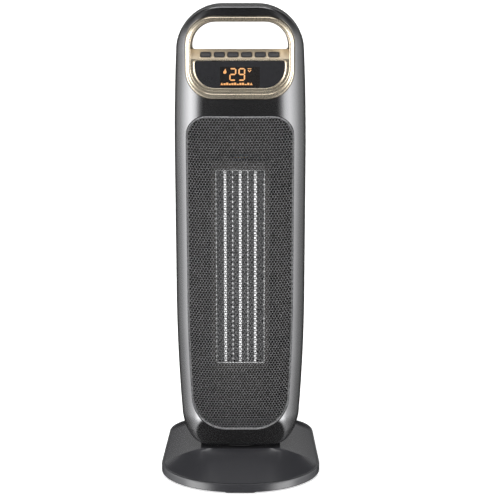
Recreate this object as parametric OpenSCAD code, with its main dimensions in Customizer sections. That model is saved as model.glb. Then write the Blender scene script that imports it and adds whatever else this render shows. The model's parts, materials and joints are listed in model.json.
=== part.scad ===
// Tower fan heater with a ceramic heating block, a carrying handle and a base that lets it swing.
// The front of the heater faces -Y, +X is to its right as seen from the front, and +Z is up.
// The origin is on the floor, on the swivel axis and under the middle of the base.

/* [Tower] */
// Width of the tower
tower_w = 160; // [150:1:170]
// Height of the top of the handle above the floor
tower_top = 585; // [575:1:600]
// Height of the bottom of the tower above the floor
tower_bottom = 39; // [39:1:40]
// Wall thickness of the two housings
wall = 2.5; // [2:0.1:3]
// Radius of the vertical edges at the front
front_edge_r = 36; // [34:1:38]
// Radius of the vertical edges at the back
rear_edge_r = 44; // [42:1:46]
// Radius of the top corners of the tower
top_corner_r = 56; // [52:1:58]
// Radius of the bottom corners of the tower
bottom_corner_r = 36; // [30:1:38]

/* [Handle] */
// Depth of the back of the handle behind the swivel axis
handle_back = 6; // [4:0.5:10]
// Height at which the back starts to slope towards the handle
slope_low = 452; // [445:1:455]
// Height at which the slope has reached the handle
slope_high = 520; // [515:1:525]
// Downward slope of the hand opening towards the back
opening_tilt = 6; // [5:0.5:7]
// Half width of the hand opening
opening_half_w = 57.8; // [56:0.1:59]
// Top of the hand opening
opening_top = 567; // [564:1:568]
// Floor of the hand opening
opening_floor = 534; // [533:1:536]
// Width of the gold ring's front lip
ring_lip = 6; // [5:0.5:7]
// Bottom of the gold ring
ring_bottom = 476.5; // [474:0.5:478]
// How far the gold ring stands out of the front
ring_proud = 2; // [1:0.5:3]
// Wall thickness of the liner in the hand opening
liner_wall = 2.2; // [1.8:0.1:2.6]

/* [Controls] */
// Slope of the button strip from level
strip_tilt = 44; // [40:1:46]
// Length of the strip's face along its slope
strip_len = 14.4; // [14:0.1:15]
// Number of push buttons
button_count = 6; // [6:1:6]
// Distance between neighbouring buttons
button_pitch = 16; // [15.5:0.1:16.5]
// Width of a button
button_w = 12.2; // [11.5:0.1:12.5]
// Depth of a button along the slope
button_d = 7.2; // [6.8:0.1:7.4]
// Free gap around each button
button_gap = 0.3; // [0.3:0.05:0.4]

/* [Grille] */
// Top of the grille opening
grille_top = 457; // [450:1:460]
// Bottom of the grille opening
grille_bottom = 60; // [58:1:64]
// Width of the housing beside the grille opening
grille_side = 14.2; // [13:0.1:16]
// Number of slot columns in the grille panel
grille_cols = 10; // [8:1:12]
// Number of slot rows in the grille panel
grille_rows = 13; // [10:1:14]

/* [Heater] */
// Half width of the heating block
block_half_w = 30; // [29:0.5:31]
// Bottom of the heating block
block_bottom = 140.5; // [140:0.5:142]
// Top of the heating block
block_top = 386.5; // [384:0.5:388]
// Distance between neighbouring element tubes
tube_pitch = 18.6; // [18:0.1:19]
// Height of one full wave of the corrugated fins
fin_wave = 6; // [5:0.5:8]

/* [Blower] */
// Outer radius of the cross-flow impeller
impeller_r = 26; // [24:0.5:27]
// Number of impeller blades
blade_count = 22; // [16:1:28]
// Radius of the impeller shaft
shaft_r = 3; // [2.5:0.5:4]
// Radial running clearance of shafts in their bearings
running_gap = 0.05; // [0.03:0.01:0.08]

/* [Base] */
// Width of the base
base_w = 200; // [190:2:210]
// Depth of the base
base_d = 228; // [220:2:236]
// Depth of the rounded front part of the base
base_front_d = 74; // [66:1:80]
// Radius of the rear corners of the base
base_rear_r = 48; // [40:1:50]
// Height of the top edge of the rim
rim_top = 13; // [12:0.5:15]
// Height of the flat top of the base
plateau_z = 35; // [35:0.5:35.5]
// Half width of the flat top of the base
plateau_half_w = 50; // [48:1:52]

/* [Swivel] */
// Radius of the hub that turns in the base
hub_r = 30; // [28:1:31]
// Tooth size of the swing gears, as their module
gear_module = 1.6; // [1.5:0.05:1.7]
// Number of teeth on the ring gear
gear_teeth = 48; // [48:1:48]
// Number of teeth on the pinion
pinion_teeth = 12; // [12:1:12]

/* [Hidden] */
$fn = 64;
cut = 1;

// Plan of the tower
half_w = tower_w / 2;
front_y = -54;
rear_y = 54;
front_arc_y = -15;
rear_arc_y = 8;
split_y = -4;
arc_steps = 8;

// Side profile of the tower: straight in the middle and drawn in towards both ends
waist_low = 230;
waist_high = 400;
low_taper_r = 2184;
high_taper_r = 2700;

// Handle and ring
ring_half_w = opening_half_w + ring_lip;
ring_top = opening_top + ring_lip;
ring_front = front_y - ring_proud;
ring_back = -41;
ring_r = 33;
opening_r = 28;
opening_low_r = 4;
ring_sill = ring_bottom + 10.5;
rear_lip_d = 7;
rear_lip = 4.5;
liner_proud = 0.6;
liner_start = 6;

// Display panel
panel_half_w = 53;
panel_top = 521.5;
panel_bottom = 489.6;
panel_front = -54.5;
window_t = 2;
window_low_r = 24;
window_high_r = 3;
led_half_w = 23.5;
led_bottom = 490.5;
led_top = 514.5;
led_front = panel_front + window_t + 0.4;
led_back = -46;

// Button strip frame: its middle, with local Z along the face's normal
strip_y = -49.2;
strip_z = 529;
strip_t = 2.2;
button_v = -1;
button_proud = 1;
flange_t = 0.8;
stem_end = -4;
switch_top = -5.2;
board_top = -8.6;
pcb_t = 1.6;

// Grille
grille_low_r = 42;
grille_high_r = 26;
grille_cut_y = -32;

// Heater
tube_w = 3.4;
tube_d = 14;
tube_wall = 0.5;
block_front = -28;
frame_front = -30;
frame_back = -12;
frame_mid = (frame_front + frame_back) / 2;
frame_half_w = 36;
frame_bottom = 130;
frame_top = 397;
stone_count = 7;
stone_gap = 1.6;
plate_t = 0.7;

// Blower
fan_y = 17;
scroll_bottom = 133;
scroll_top = 394;
impeller_bottom = 140;
impeller_top = 386;
disc_t = 2;
motor_r = 24;
motor_nose_r = 9;
motor_bottom = 92;
motor_top = 131;

// Base
base_half_w = base_w / 2;
base_front_y = -base_d / 2;
base_rear_y = base_d / 2;
widest_y = base_front_y + base_front_d;
rear_half_w = base_half_w - 4;
plate_z = 2;
plate_t_base = 2.5;
foot_h = 2;
plateau_front_y = -50;
plateau_rear_y = 62;
plateau_corner_r = 12;
plateau_bow = 3;

// Swivel
washer_t = 1.2;
flange_gap = 0.3;
turntable_r = 46;
hub_bottom = 20.5;
hub_bore_r = 21;
retainer_top = plateau_z - wall - 0.4;
retainer_t = 2.2;
retainer_r = hub_r + 6;
gear_r = gear_module * gear_teeth / 2;
pinion_r = gear_module * pinion_teeth / 2;
gear_distance = gear_r + pinion_r;
gear_bottom = 22.5;
gear_h = 6;
pressure_angle = 25;
backlash = 0.3;
swing_motor_r = 24;
swing_motor_top = 19.5;
pinion_shaft_r = 2.5;
plunger_x = -62;
plunger_y = -25;
plunger_r = 4;
rocker_y = 50;
rocker_z = 78;
rocker_tilt = 8;
rocker_arm = 7.6;
rocker_pin_r = 1.5;

// ---------------------------------------------------------------- outlines

// Points on an arc from angle a0 to angle a1
function arc(cx, cy, r, a0, a1, n = arc_steps) =
    [for (i = [0 : n]) let (a = a0 + (a1 - a0) * i / n) [cx + r * cos(a), cy + r * sin(a)]];

// A half outline, drawn from bottom to top on the +X side, closed by its mirror image
function both_sides(pts) =
    concat(pts, [for (i = [len(pts) - 1 : -1 : 0]) if (pts[i][0] > 0.001) [-pts[i][0], pts[i][1]]]);

// Radius of a bow that meets two corner arcs without a kink
function bow_r(half, depth, r) = (half * half + depth * depth - r * r) / (2 * (depth - r));

// Half width of the tower at height z
function side_x(z) =
    half_w - (z < waist_low ? pow(waist_low - z, 2) / (2 * low_taper_r)
                            : z > waist_high ? pow(z - waist_high, 2) / (2 * high_taper_r) : 0);

// Half outline of the tower seen from the front, or of an opening in it
function front_half(inset, z0, z1, low_r, high_r) =
    concat(
        arc(side_x(z0 + low_r) - inset - low_r, z0 + low_r, low_r, -90, 0),
        [for (i = [1 : 11]) let (z = z0 + low_r + (z1 - high_r - z0 - low_r) * i / 12)
            [side_x(z) - inset, z]],
        arc(side_x(z1 - high_r) - inset - high_r, z1 - high_r, high_r, 0, 90));

// Half outline of the tower seen from above
function plan_half(inset) =
    let (fx = half_w - front_edge_r, fd = front_arc_y - front_y, fr = bow_r(fx, fd, front_edge_r),
         fa = atan(fx / (fr - fd)),
         rx = half_w - rear_edge_r, rd = rear_y - rear_arc_y, rr = bow_r(rx, rd, rear_edge_r),
         ra = atan(rx / (rr - rd)))
    concat(
        arc(0, front_y + fr, fr - inset, -90, -90 + fa, 3),
        arc(fx, front_arc_y, front_edge_r - inset, -90 + fa, 0, 12),
        arc(rx, rear_arc_y, rear_edge_r - inset, 0, 90 - ra, 12),
        arc(0, rear_y - rr, rr - inset, 90 - ra, 90, 3));

// Half outline of a shape with rounded corners, seen from the front
function slot_half(hw, z0, z1, low_r, high_r) =
    concat(arc(hw - low_r, z0 + low_r, low_r, -90, 0), arc(hw - high_r, z1 - high_r, high_r, 0, 90));

module tower_plan(inset) polygon(both_sides(plan_half(inset)));

// Sweeps a front view outline along Y, from y0 to y1
module along_y(y0, y1) {
    translate([0, y1, 0])
        rotate([90, 0, 0])
            linear_extrude(height = y1 - y0)
                children();
}

// Depth of the back of the tower at height z
function back_y(z) =
    let (t = min(1, max(0, (z - slope_low) / (slope_high - slope_low))))
    rear_y - (rear_y - handle_back) * t * t * (3 - 2 * t);

// Everything in front of the sloping back, or of its inside when inset by the wall
module ahead_of_back(inset) {
    steps = 12;
    side = 2 * half_w;
    slope_wall = 1.4;
    line = [for (i = [0 : steps]) let (z = slope_low + (slope_high - slope_low) * i / steps)
        [back_y(z) - inset * (i == 0 || i == steps ? 1 : slope_wall), z]];
    translate([-half_w - cut, 0, 0])
        rotate([90, 0, 90])
            linear_extrude(height = side + 2 * cut)
                polygon(concat(
                    [[front_y - cut, 0], [rear_y + cut, 0], [rear_y + cut, slope_low - cut]],
                    line,
                    [[handle_back - inset, tower_top + cut], [front_y - cut, tower_top + cut]]));
}

module box(x0, x1, y0, y1, z0, z1) {
    translate([x0, y0, z0])
        cube([x1 - x0, y1 - y0, z1 - z0]);
}

module cyl_y(x, z, r, y0, y1) {
    translate([x, y1, z])
        rotate([90, 0, 0])
            cylinder(r = r, h = y1 - y0);
}

module cyl_z(x, y, r, z0, z1) {
    translate([x, y, z0])
        cylinder(r = r, h = z1 - z0);
}

// Outer form of the tower, or its cavity when inset by the wall
module tower_form(inset, y0, y1) {
    intersection() {
        translate([0, 0, tower_bottom - cut])
            linear_extrude(height = tower_top - tower_bottom + 2 * cut)
                tower_plan(inset);
        along_y(y0, y1)
            polygon(both_sides(front_half(inset, tower_bottom + inset, tower_top - inset,
                                          bottom_corner_r - inset, top_corner_r - inset)));
        ahead_of_back(inset);
    }
}

module ring_outline(grow = 0) {
    polygon(both_sides(slot_half(ring_half_w + grow, ring_bottom - grow, ring_top + grow,
                                 ring_r + grow, ring_r + grow)));
}

module opening_outline(grow = 0) {
    polygon(both_sides(slot_half(opening_half_w + grow, opening_floor - grow, opening_top + grow,
                                 opening_low_r + grow, opening_r + grow)));
}

module grille_outline(inset = 0) {
    polygon(both_sides(front_half(grille_side + inset, grille_bottom + inset, grille_top - inset,
                                  grille_low_r - inset, grille_high_r - inset)));
}

module window_outline(grow = 0) {
    polygon(both_sides(slot_half(panel_half_w + grow, panel_bottom - grow, panel_top + grow,
                                 window_low_r + grow, window_high_r + grow)));
}

// ---------------------------------------------------------------- housings

screw_x = 56;
screw_heights = [100, 270, 425];
screw_seat_y = 40;
screw_boss_r = 5;
rib_t = 2;
front_boss_y = -30;
front_thread = 18;

// Circuit board and its posts
board_y = 30;
board_post_x = 36;
board_post_heights = [411, 459];

// Rocker switch body
switch_half_w = 10;
switch_half_h = 12;

module screw_places() {
    for (side = [-1, 1], z = screw_heights)
        translate([side * screw_x, 0, z])
            children();
}

// Screw bosses from y0 to y1, each tied to the side wall by a rib from y0 + rib_from to y1 - rib_to
module screw_bosses(y0, y1, rib_from, rib_to) {
    for (side = [0, 1], z = screw_heights)
        mirror([side, 0, 0]) {
            cyl_y(screw_x, z, screw_boss_r, y0, y1);
            box(screw_x, side_x(z) - wall / 2, y0 + rib_from, y1 - rib_to, z - rib_t / 2, z + rib_t / 2);
        }
}

// Puts its children in the frame of the hand opening, which slopes down from the ring to the back
module on_opening() {
    translate([0, ring_back, opening_floor])
        rotate([-opening_tilt, 0, 0])
            translate([0, -ring_back, -opening_floor])
                children();
}

// Hole for the gold ring at the front and for the liner behind it
module handle_cut() {
    along_y(front_y - cut, ring_back)
        ring_outline();
    on_opening()
        along_y(ring_back - liner_start, rear_y)
            opening_outline(liner_wall);
}

module front_housing() {
    pilot_r = 1.4;
    color([0.16, 0.16, 0.17])
        difference() {
            union() {
                difference() {
                    tower_form(0, front_y - cut, split_y);
                    tower_form(wall, front_y, split_y + cut);
                }
                screw_bosses(front_boss_y, split_y, 0, 0);
            }
            handle_cut();
            along_y(front_y - cut, grille_cut_y)
                grille_outline();
            cyl_z(0, 0, hub_bore_r, tower_bottom - cut, tower_bottom + wall + cut);
            screw_places()
                cyl_y(0, 0, pilot_r, split_y - front_thread - 2 * cut, split_y + cut);
        }
}

module rear_housing() {
    hole_r = 1.7;
    seat_r = 3.9;
    louvre_h = 4;
    louvre_pitch = 8;
    louvre_count = 30;
    louvre_z = 148;
    louvre_half_w = 46;
    louvre_from = rear_y - 8;
    seat_over = 3.5;
    rib_short = 24;
    post_r = 3;
    switch_gap = 0.1;
    switch_from = 40;
    color([0.15, 0.15, 0.16])
        difference() {
            union() {
                difference() {
                    tower_form(0, split_y, rear_y + cut);
                    tower_form(wall, split_y - cut, rear_y);
                }
                screw_bosses(split_y, screw_seat_y + seat_over, 0, rib_short);
                for (x = [-board_post_x, board_post_x], z = board_post_heights)
                    cyl_y(x, z, post_r, board_y + pcb_t, rear_y - 2 * wall + cut);
            }
            on_opening() {
                along_y(split_y - 4 * cut, rear_y)
                    opening_outline(liner_wall);
                along_y(handle_back - rear_lip_d, rear_y)
                    opening_outline(rear_lip);
            }
            for (i = [0 : louvre_count - 1])
                box(-louvre_half_w, louvre_half_w, louvre_from, rear_y + cut,
                    louvre_z + i * louvre_pitch, louvre_z + i * louvre_pitch + louvre_h);
            cyl_z(0, 0, hub_bore_r, tower_bottom - cut, tower_bottom + wall + cut);
            screw_places() {
                cyl_y(0, 0, hole_r, split_y - cut, rear_y);
                cyl_y(0, 0, seat_r, screw_seat_y, rear_y);
            }
            box(-switch_half_w - switch_gap, switch_half_w + switch_gap, switch_from, rear_y + cut,
                rocker_z - switch_half_h - switch_gap, rocker_z + switch_half_h + switch_gap);
        }
}

module housing_screws() {
    head_r = 3.6;
    head_h = 2.4;
    thread_r = 1.4;
    slot_reach = 2.6;
    slot_half = 0.5;
    slot_floor = screw_seat_y + head_h - 1;
    slot_end = screw_seat_y + head_h + cut;
    color([0.55, 0.55, 0.57])
        screw_places() {
            difference() {
                cyl_y(0, 0, head_r, screw_seat_y, screw_seat_y + head_h);
                box(-slot_reach, slot_reach, slot_floor, slot_end, -slot_half, slot_half);
                box(-slot_half, slot_half, slot_floor, slot_end, -slot_reach, slot_reach);
            }
            cyl_y(0, 0, thread_r, split_y - front_thread, screw_seat_y);
        }
}

// ---------------------------------------------------------------- handle trim and controls

module handle_ring() {
    color([0.80, 0.74, 0.64])
        difference() {
            along_y(ring_front, ring_back)
                ring_outline();
            along_y(ring_front - cut, ring_back + cut)
                polygon(both_sides(slot_half(opening_half_w, ring_sill, opening_top,
                                             ring_r - ring_lip, opening_r)));
        }
}

module handle_liner() {
    color([0.78, 0.72, 0.62])
        intersection() {
            on_opening()
                difference() {
                    union() {
                        along_y(ring_back - liner_start, rear_y)
                            opening_outline(liner_wall);
                        along_y(handle_back - rear_lip_d, rear_y)
                            opening_outline(rear_lip);
                    }
                    along_y(ring_back - liner_start - cut, rear_y + cut)
                        opening_outline();
                }
            box(-half_w, half_w, ring_back, handle_back + liner_proud, ring_bottom, tower_top);
        }
}

// Puts its children in the frame of the button strip
module on_strip() {
    translate([0, strip_y, strip_z])
        rotate([strip_tilt, 0, 0])
            children();
}

function button_x(i) = (i - (button_count + 1) / 2) * button_pitch;

module control_bezel() {
    side_gap = 0.05;
    window_gap = 0.1;
    corner_r = 1;
    hw = opening_half_w - side_gap;
    plate_front = panel_front - 0.4;
    plate_back = panel_front + 3;
    plate_top = strip_z - 4;
    shelf_front = strip_y + 4;
    shelf_t = 2.4;
    hole_w = button_w + 2 * button_gap;
    hole_d = button_d + 2 * button_gap;
    sill = 6;
    color([0.74, 0.67, 0.56])
        difference() {
            union() {
                along_y(plate_front, plate_back)
                    polygon(both_sides(slot_half(hw, ring_sill + side_gap, plate_top,
                                                 ring_r - ring_lip - side_gap, corner_r)));
                on_strip()
                    translate([-hw, -strip_len / 2, -strip_t])
                        cube([2 * hw, strip_len, strip_t]);
                box(-hw + sill, hw - sill, shelf_front, ring_back, opening_floor - shelf_t, opening_floor);
            }
            along_y(panel_front - cut, plate_back + cut)
                window_outline(window_gap);
            on_strip()
                for (i = [1 : button_count])
                    translate([button_x(i) - hole_w / 2, button_v - hole_d / 2, -2 * strip_t])
                        cube([hole_w, hole_d, 4 * strip_t]);
        }
}

module display_window() {
    color([0.16, 0.16, 0.18])
        along_y(panel_front, panel_front + window_t)
            window_outline();
}

module display_module() {
    color([0.06, 0.06, 0.07])
        box(-led_half_w, led_half_w, led_front, led_back, led_bottom, led_top);
}

// One seven segment figure; lit lists its segments as top, upper right, lower right, bottom,
// lower left, upper left and middle
module figure(lit) {
    w = 7.2;
    h = 14.6;
    t = 1.5;
    places = [[0, h - t, w, t], [w - t, h / 2, t, h / 2], [w - t, 0, t, h / 2], [0, 0, w, t],
              [0, 0, t, h / 2], [0, h / 2, t, h / 2], [0, h / 2 - t / 2, w, t]];
    for (s = lit)
        translate([places[s][0], places[s][1]])
            square([places[s][2], places[s][3]]);
}

module display_segments() {
    relief = 0.3;
    figure_z = 498.2;
    tens_x = -12.6;
    units_x = -1.2;
    bar_count = 10;
    bar_x = -16;
    bar_pitch = 3;
    bar_w = 2.4;
    bar_z = 492.4;
    bar_h = 2.6;
    color([1.0, 0.72, 0.35])
        along_y(led_front - relief, led_front) {
            translate([tens_x, figure_z])
                figure([0, 1, 6, 4, 3]);
            translate([units_x, figure_z])
                figure([0, 1, 5, 6, 2, 3]);
            for (i = [0 : bar_count - 1])
                translate([bar_x + i * bar_pitch, bar_z])
                    square([bar_w, bar_h]);
        }
}

module display_board() {
    board_half_w = 36;
    color([0.10, 0.32, 0.20])
        box(-board_half_w, board_half_w, led_back, led_back + pcb_t, led_bottom - 1, led_top);
}

module button_board() {
    board_half_w = 50;
    board_low_v = -5.4;
    board_d = 9;
    color([0.10, 0.32, 0.20])
        on_strip()
            translate([-board_half_w, board_low_v, board_top - pcb_t])
                cube([2 * board_half_w, board_d, pcb_t]);
}

module button_switches() {
    side = 6;
    body_h = 2.4;
    actuator_r = 1.7;
    color([0.12, 0.12, 0.12])
        on_strip()
            for (i = [1 : button_count])
                translate([button_x(i), button_v, board_top]) {
                    translate([-side / 2, -side / 2, 0])
                        cube([side, side, body_h]);
                    cylinder(r = actuator_r, h = switch_top - board_top);
                }
}

// One push button with the flange that keeps it under the strip and the stem that presses a switch
module push_button(i) {
    round_r = 1;
    flange_over = 0.8;
    stem_r = 1.6;
    flange_top = -strip_t - button_gap;
    color([0.13, 0.14, 0.14])
        on_strip()
            translate([button_x(i), button_v, 0]) {
                translate([0, 0, flange_top])
                    linear_extrude(height = button_proud - flange_top)
                        polygon(concat(
                            arc(button_w / 2 - round_r, -button_d / 2 + round_r, round_r, -90, 0, 4),
                            arc(button_w / 2 - round_r, button_d / 2 - round_r, round_r, 0, 90, 4),
                            arc(-button_w / 2 + round_r, button_d / 2 - round_r, round_r, 90, 180, 4),
                            arc(-button_w / 2 + round_r, -button_d / 2 + round_r, round_r, 180, 270, 4)));
                translate([-button_w / 2 - flange_over, -button_d / 2, flange_top - flange_t])
                    cube([button_w + 2 * flange_over, button_d, flange_t]);
                translate([0, 0, stem_end])
                    cylinder(r = stem_r, h = flange_top - flange_t - stem_end);
            }
}

// ---------------------------------------------------------------- grille and heater

// Curved panel that follows the front, between two depths below its surface
module front_skin(depth, thickness) {
    difference() {
        translate([0, 0, grille_bottom])
            linear_extrude(height = grille_top - grille_bottom)
                tower_plan(depth);
        translate([0, 0, grille_bottom - cut])
            linear_extrude(height = grille_top - grille_bottom + 2 * cut)
                tower_plan(depth + thickness);
    }
}

module front_grille() {
    skin_depth = 0.8;
    skin_t = 1.4;
    web = 2.6;
    border = 4;
    edge_gap = 0.05;
    field_w = 2 * (half_w - grille_side) - 2 * border;
    field_h = grille_top - grille_bottom - 2 * border;
    cell_w = field_w / grille_cols;
    cell_h = field_h / grille_rows;
    color([0.09, 0.09, 0.10])
        intersection() {
            front_skin(skin_depth, skin_t);
            along_y(front_y - cut, grille_cut_y)
                difference() {
                    grille_outline(edge_gap);
                    intersection() {
                        grille_outline(border);
                        for (c = [0 : grille_cols - 1], r = [0 : grille_rows - 1])
                            translate([-field_w / 2 + c * cell_w + web / 2,
                                       grille_bottom + border + r * cell_h + web / 2])
                                square([cell_w - web, cell_h - web]);
                    }
                }
        }
}

// Plate that closes the space round the heating block, so that all the air goes through it
module air_baffle() {
    plate_front = -16;
    plate_back = -14.5;
    edge = 11;
    play = 0.4;
    notch_half_w = 25;
    notch_h = 9;
    color([0.10, 0.10, 0.10])
        difference() {
            along_y(plate_front, plate_back)
                polygon(both_sides(front_half(edge, grille_bottom + 2, grille_top - 2,
                                              grille_low_r, grille_high_r)));
            box(-frame_half_w, frame_half_w, plate_front - cut, plate_back + cut, frame_bottom, frame_top);
            box(-notch_half_w, notch_half_w, plate_front - cut, plate_back + cut,
                frame_top - cut, frame_top + notch_h);
            screw_places()
                cyl_y(0, 0, screw_boss_r + play, plate_front - cut, plate_back + cut);
            for (side = [0, 1], z = screw_heights)
                mirror([side, 0, 0])
                    box(screw_x, half_w, plate_front - cut, plate_back + cut,
                        z - rib_t / 2 - play, z + rib_t / 2 + play);
        }
}

module heater_frame() {
    window_side = 0.2;
    color([0.20, 0.19, 0.18])
        difference() {
            box(-frame_half_w, frame_half_w, frame_front, frame_back, frame_bottom, frame_top);
            box(-block_half_w - window_side, block_half_w + window_side, frame_front - cut,
                frame_back + cut, block_bottom - window_side, block_top + window_side);
        }
}

module heater_tubes() {
    color([0.83, 0.84, 0.86])
        for (i = [-1 : 1])
            translate([i * tube_pitch, block_front, 0])
                difference() {
                    box(-tube_w / 2, tube_w / 2, 0, tube_d, block_bottom, block_top);
                    box(-tube_w / 2 + tube_wall, tube_w / 2 - tube_wall, tube_wall,
                        tube_d - tube_wall, block_bottom - cut, block_top + cut);
                }
}

module ceramic_stones() {
    stone_w = tube_w - 2 * tube_wall;
    stone_play = 0.2;
    stone_d = tube_d - 2 * (tube_wall + stone_play);
    stone_y = block_front + tube_wall + stone_play;
    pitch = (block_top - block_bottom) / stone_count;
    color([0.35, 0.34, 0.33])
        for (i = [-1 : 1], k = [0 : stone_count - 1])
            box(i * tube_pitch - stone_w / 2, i * tube_pitch + stone_w / 2,
                stone_y, stone_y + stone_d,
                block_bottom + k * pitch + stone_gap / 2, block_bottom + (k + 1) * pitch - stone_gap / 2);
}

// One corrugated strip that fills the space from x0 to x1
module fin_strip(x0, x1) {
    sheet = 1.2;
    touch = 0.05;
    lift = 2;
    waves = floor((block_top - block_bottom - 2 * lift) / fin_wave);
    path = [for (k = [0 : 2 * waves])
        [k % 2 == 0 ? x0 + touch : x1 - touch - sheet, block_bottom + lift + k * fin_wave / 2]];
    along_y(block_front + 1, block_front + tube_d - 1)
        polygon(concat(path, [for (k = [2 * waves : -1 : 0]) path[k] + [sheet, 0]]));
}

module heater_fins() {
    half_tube = tube_w / 2;
    mid = tube_pitch / 2;
    edge = block_half_w - plate_t;
    color([0.72, 0.73, 0.75])
        for (side = [0, 1])
            mirror([side, 0, 0]) {
                fin_strip(half_tube, mid - plate_t / 2);
                fin_strip(mid + plate_t / 2, tube_pitch - half_tube);
                fin_strip(tube_pitch + half_tube, edge);
            }
}

module heater_plates() {
    color([0.80, 0.81, 0.83])
        for (x = [-block_half_w + plate_t / 2, -tube_pitch / 2, tube_pitch / 2, block_half_w - plate_t / 2])
            box(x - plate_t / 2, x + plate_t / 2, block_front, block_front + tube_d, block_bottom, block_top);
}

module heater_terminals() {
    tab_t = 0.8;
    tab_len = 4.5;
    tab_low = block_top - 12;
    tab_high = block_top - 5;
    hole_r = 0.8;
    hole_y = block_front + tube_d + 2.8;
    color([0.80, 0.62, 0.30])
        for (i = [-1 : 1])
            difference() {
                box(i * tube_pitch - tab_t / 2, i * tube_pitch + tab_t / 2, block_front + tube_d,
                    block_front + tube_d + tab_len, tab_low, tab_high);
                translate([i * tube_pitch - cut, hole_y, (tab_low + tab_high) / 2])
                    rotate([0, 90, 0])
                        cylinder(r = hole_r, h = 2 * cut);
            }
}

module heater_brackets() {
    arm_h = 10;
    arm_front = -22;
    arm_back = -19;
    arm_heights = [160, 355];
    reach = 75.5;
    color([0.60, 0.61, 0.62])
        for (side = [0, 1], z = arm_heights)
            mirror([side, 0, 0])
                box(frame_half_w, reach, arm_front, arm_back, z, z + arm_h);
}

module thermal_cutout() {
    x = -16;
    body_r = 8;
    cap_r = 5;
    body_top = frame_top + 5;
    cap_top = frame_top + 8;
    color([0.85, 0.85, 0.82]) {
        cyl_z(x, frame_mid, body_r, frame_top, body_top);
        cyl_z(x, frame_mid, cap_r, body_top, cap_top);
    }
}

module thermal_fuse() {
    x = 8;
    fuse_r = 2;
    fuse_len = 14;
    color([0.90, 0.90, 0.88])
        translate([x, frame_mid, frame_top + fuse_r])
            rotate([0, 90, 0])
                cylinder(r = fuse_r, h = fuse_len);
}

// ---------------------------------------------------------------- blower

function scroll_point(a, r) = [r * cos(a), fan_y + r * sin(a)];

module blower_scroll() {
    sheet = 2;
    inner_r = impeller_r + 3;
    spread = 7;
    from_angle = 130;
    to_angle = 212;
    steps = 10;
    mouth = 34;
    tongue = [[mouth, frame_back], [mouth + sheet, frame_back], [33.5, 4], [30, 8], [31.5, 2]];
    end_half_w = 38;
    end_back = 44;
    bearing_hole_r = 10;
    inner = [for (i = [0 : steps])
        scroll_point(from_angle + (to_angle - from_angle) * i / steps, inner_r + spread * i / steps)];
    outer = [for (i = [steps : -1 : 0])
        scroll_point(from_angle + (to_angle - from_angle) * i / steps, inner_r + sheet + spread * i / steps)];
    color([0.30, 0.31, 0.33])
        difference() {
            union() {
                translate([0, 0, scroll_bottom])
                    linear_extrude(height = scroll_top - scroll_bottom) {
                        polygon(concat(inner, [[-mouth, frame_back], [-mouth - sheet, frame_back]], outer));
                        polygon(tongue);
                    }
                for (z = [scroll_bottom, scroll_top - sheet])
                    box(-end_half_w, end_half_w, frame_back, end_back, z, z + sheet);
            }
            cyl_z(0, fan_y, bearing_hole_r, scroll_bottom - cut, scroll_top + cut);
        }
}

module bearing(z0) {
    bearing_r = 10;
    bearing_h = 4;
    color([0.70, 0.55, 0.30])
        difference() {
            cyl_z(0, fan_y, bearing_r, z0, z0 + bearing_h);
            cyl_z(0, fan_y, shaft_r + running_gap, z0 - cut, z0 + bearing_h + cut);
        }
}

module upper_bearing() bearing(scroll_top - 3);

module lower_bearing() bearing(motor_top);

module blower_motor() {
    nose_h = 4;
    bore_floor = motor_bottom + 6;
    color([0.45, 0.46, 0.48])
        difference() {
            union() {
                cyl_z(0, fan_y, motor_r, motor_bottom, motor_top);
                cyl_z(0, fan_y, motor_nose_r, motor_bottom - nose_h, motor_bottom);
            }
            cyl_z(0, fan_y, shaft_r + running_gap, bore_floor, motor_top + cut);
        }
}

module motor_bracket() {
    plate_half_w = 38;
    plate_front = -12;
    plate_back = 47;
    sheet = 2;
    nose_gap = 0.1;
    color([0.60, 0.61, 0.62])
        difference() {
            box(-plate_half_w, plate_half_w, plate_front, plate_back, motor_bottom - sheet, motor_bottom);
            cyl_z(0, fan_y, motor_nose_r + nose_gap, motor_bottom - sheet - cut, motor_bottom + cut);
        }
}

module impeller() {
    hub = 8;
    hub_h = 10;
    middle_disc = (impeller_bottom + impeller_top - disc_t) / 2;
    blade_len = 7;
    blade_in = 0.6;
    blade_t = 1;
    blade_lean = 30;
    color([0.82, 0.83, 0.85])
        difference() {
            union() {
                for (z = [impeller_bottom, middle_disc, impeller_top - disc_t])
                    cyl_z(0, fan_y, impeller_r, z, z + disc_t);
                cyl_z(0, fan_y, hub, impeller_bottom, impeller_bottom + hub_h);
                cyl_z(0, fan_y, hub, impeller_top - hub_h, impeller_top);
                translate([0, fan_y, impeller_bottom])
                    linear_extrude(height = impeller_top - impeller_bottom)
                        for (i = [0 : blade_count - 1])
                            rotate(i * 360 / blade_count)
                                translate([impeller_r - blade_in, 0])
                                    rotate(blade_lean)
                                        translate([-blade_len, -blade_t / 2])
                                            square([blade_len, blade_t]);
            }
            cyl_z(0, fan_y, shaft_r, impeller_bottom - cut, impeller_top + cut);
        }
}

module impeller_shaft() {
    shaft_bottom = motor_bottom + 8;
    shaft_top = scroll_top + 3;
    color([0.75, 0.76, 0.78])
        cyl_z(0, fan_y, shaft_r, shaft_bottom, shaft_top);
}

module intake_filter() {
    hw = 42;
    z0 = 146;
    z1 = 386;
    cols = 6;
    rows = 14;
    border = 4;
    web = 2;
    y0 = 46.2;
    y1 = 48;
    cw = (2 * (hw - border) + web) / cols;
    ch = (z1 - z0 - 2 * border + web) / rows;
    color([0.25, 0.25, 0.26])
        along_y(y0, y1)
            difference() {
                translate([-hw, z0])
                    square([2 * hw, z1 - z0]);
                for (c = [0 : cols - 1], r = [0 : rows - 1])
                    translate([-hw + border + c * cw, z0 + border + r * ch])
                        square([cw - web, ch - web]);
            }
}

// ---------------------------------------------------------------- electrics

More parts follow.
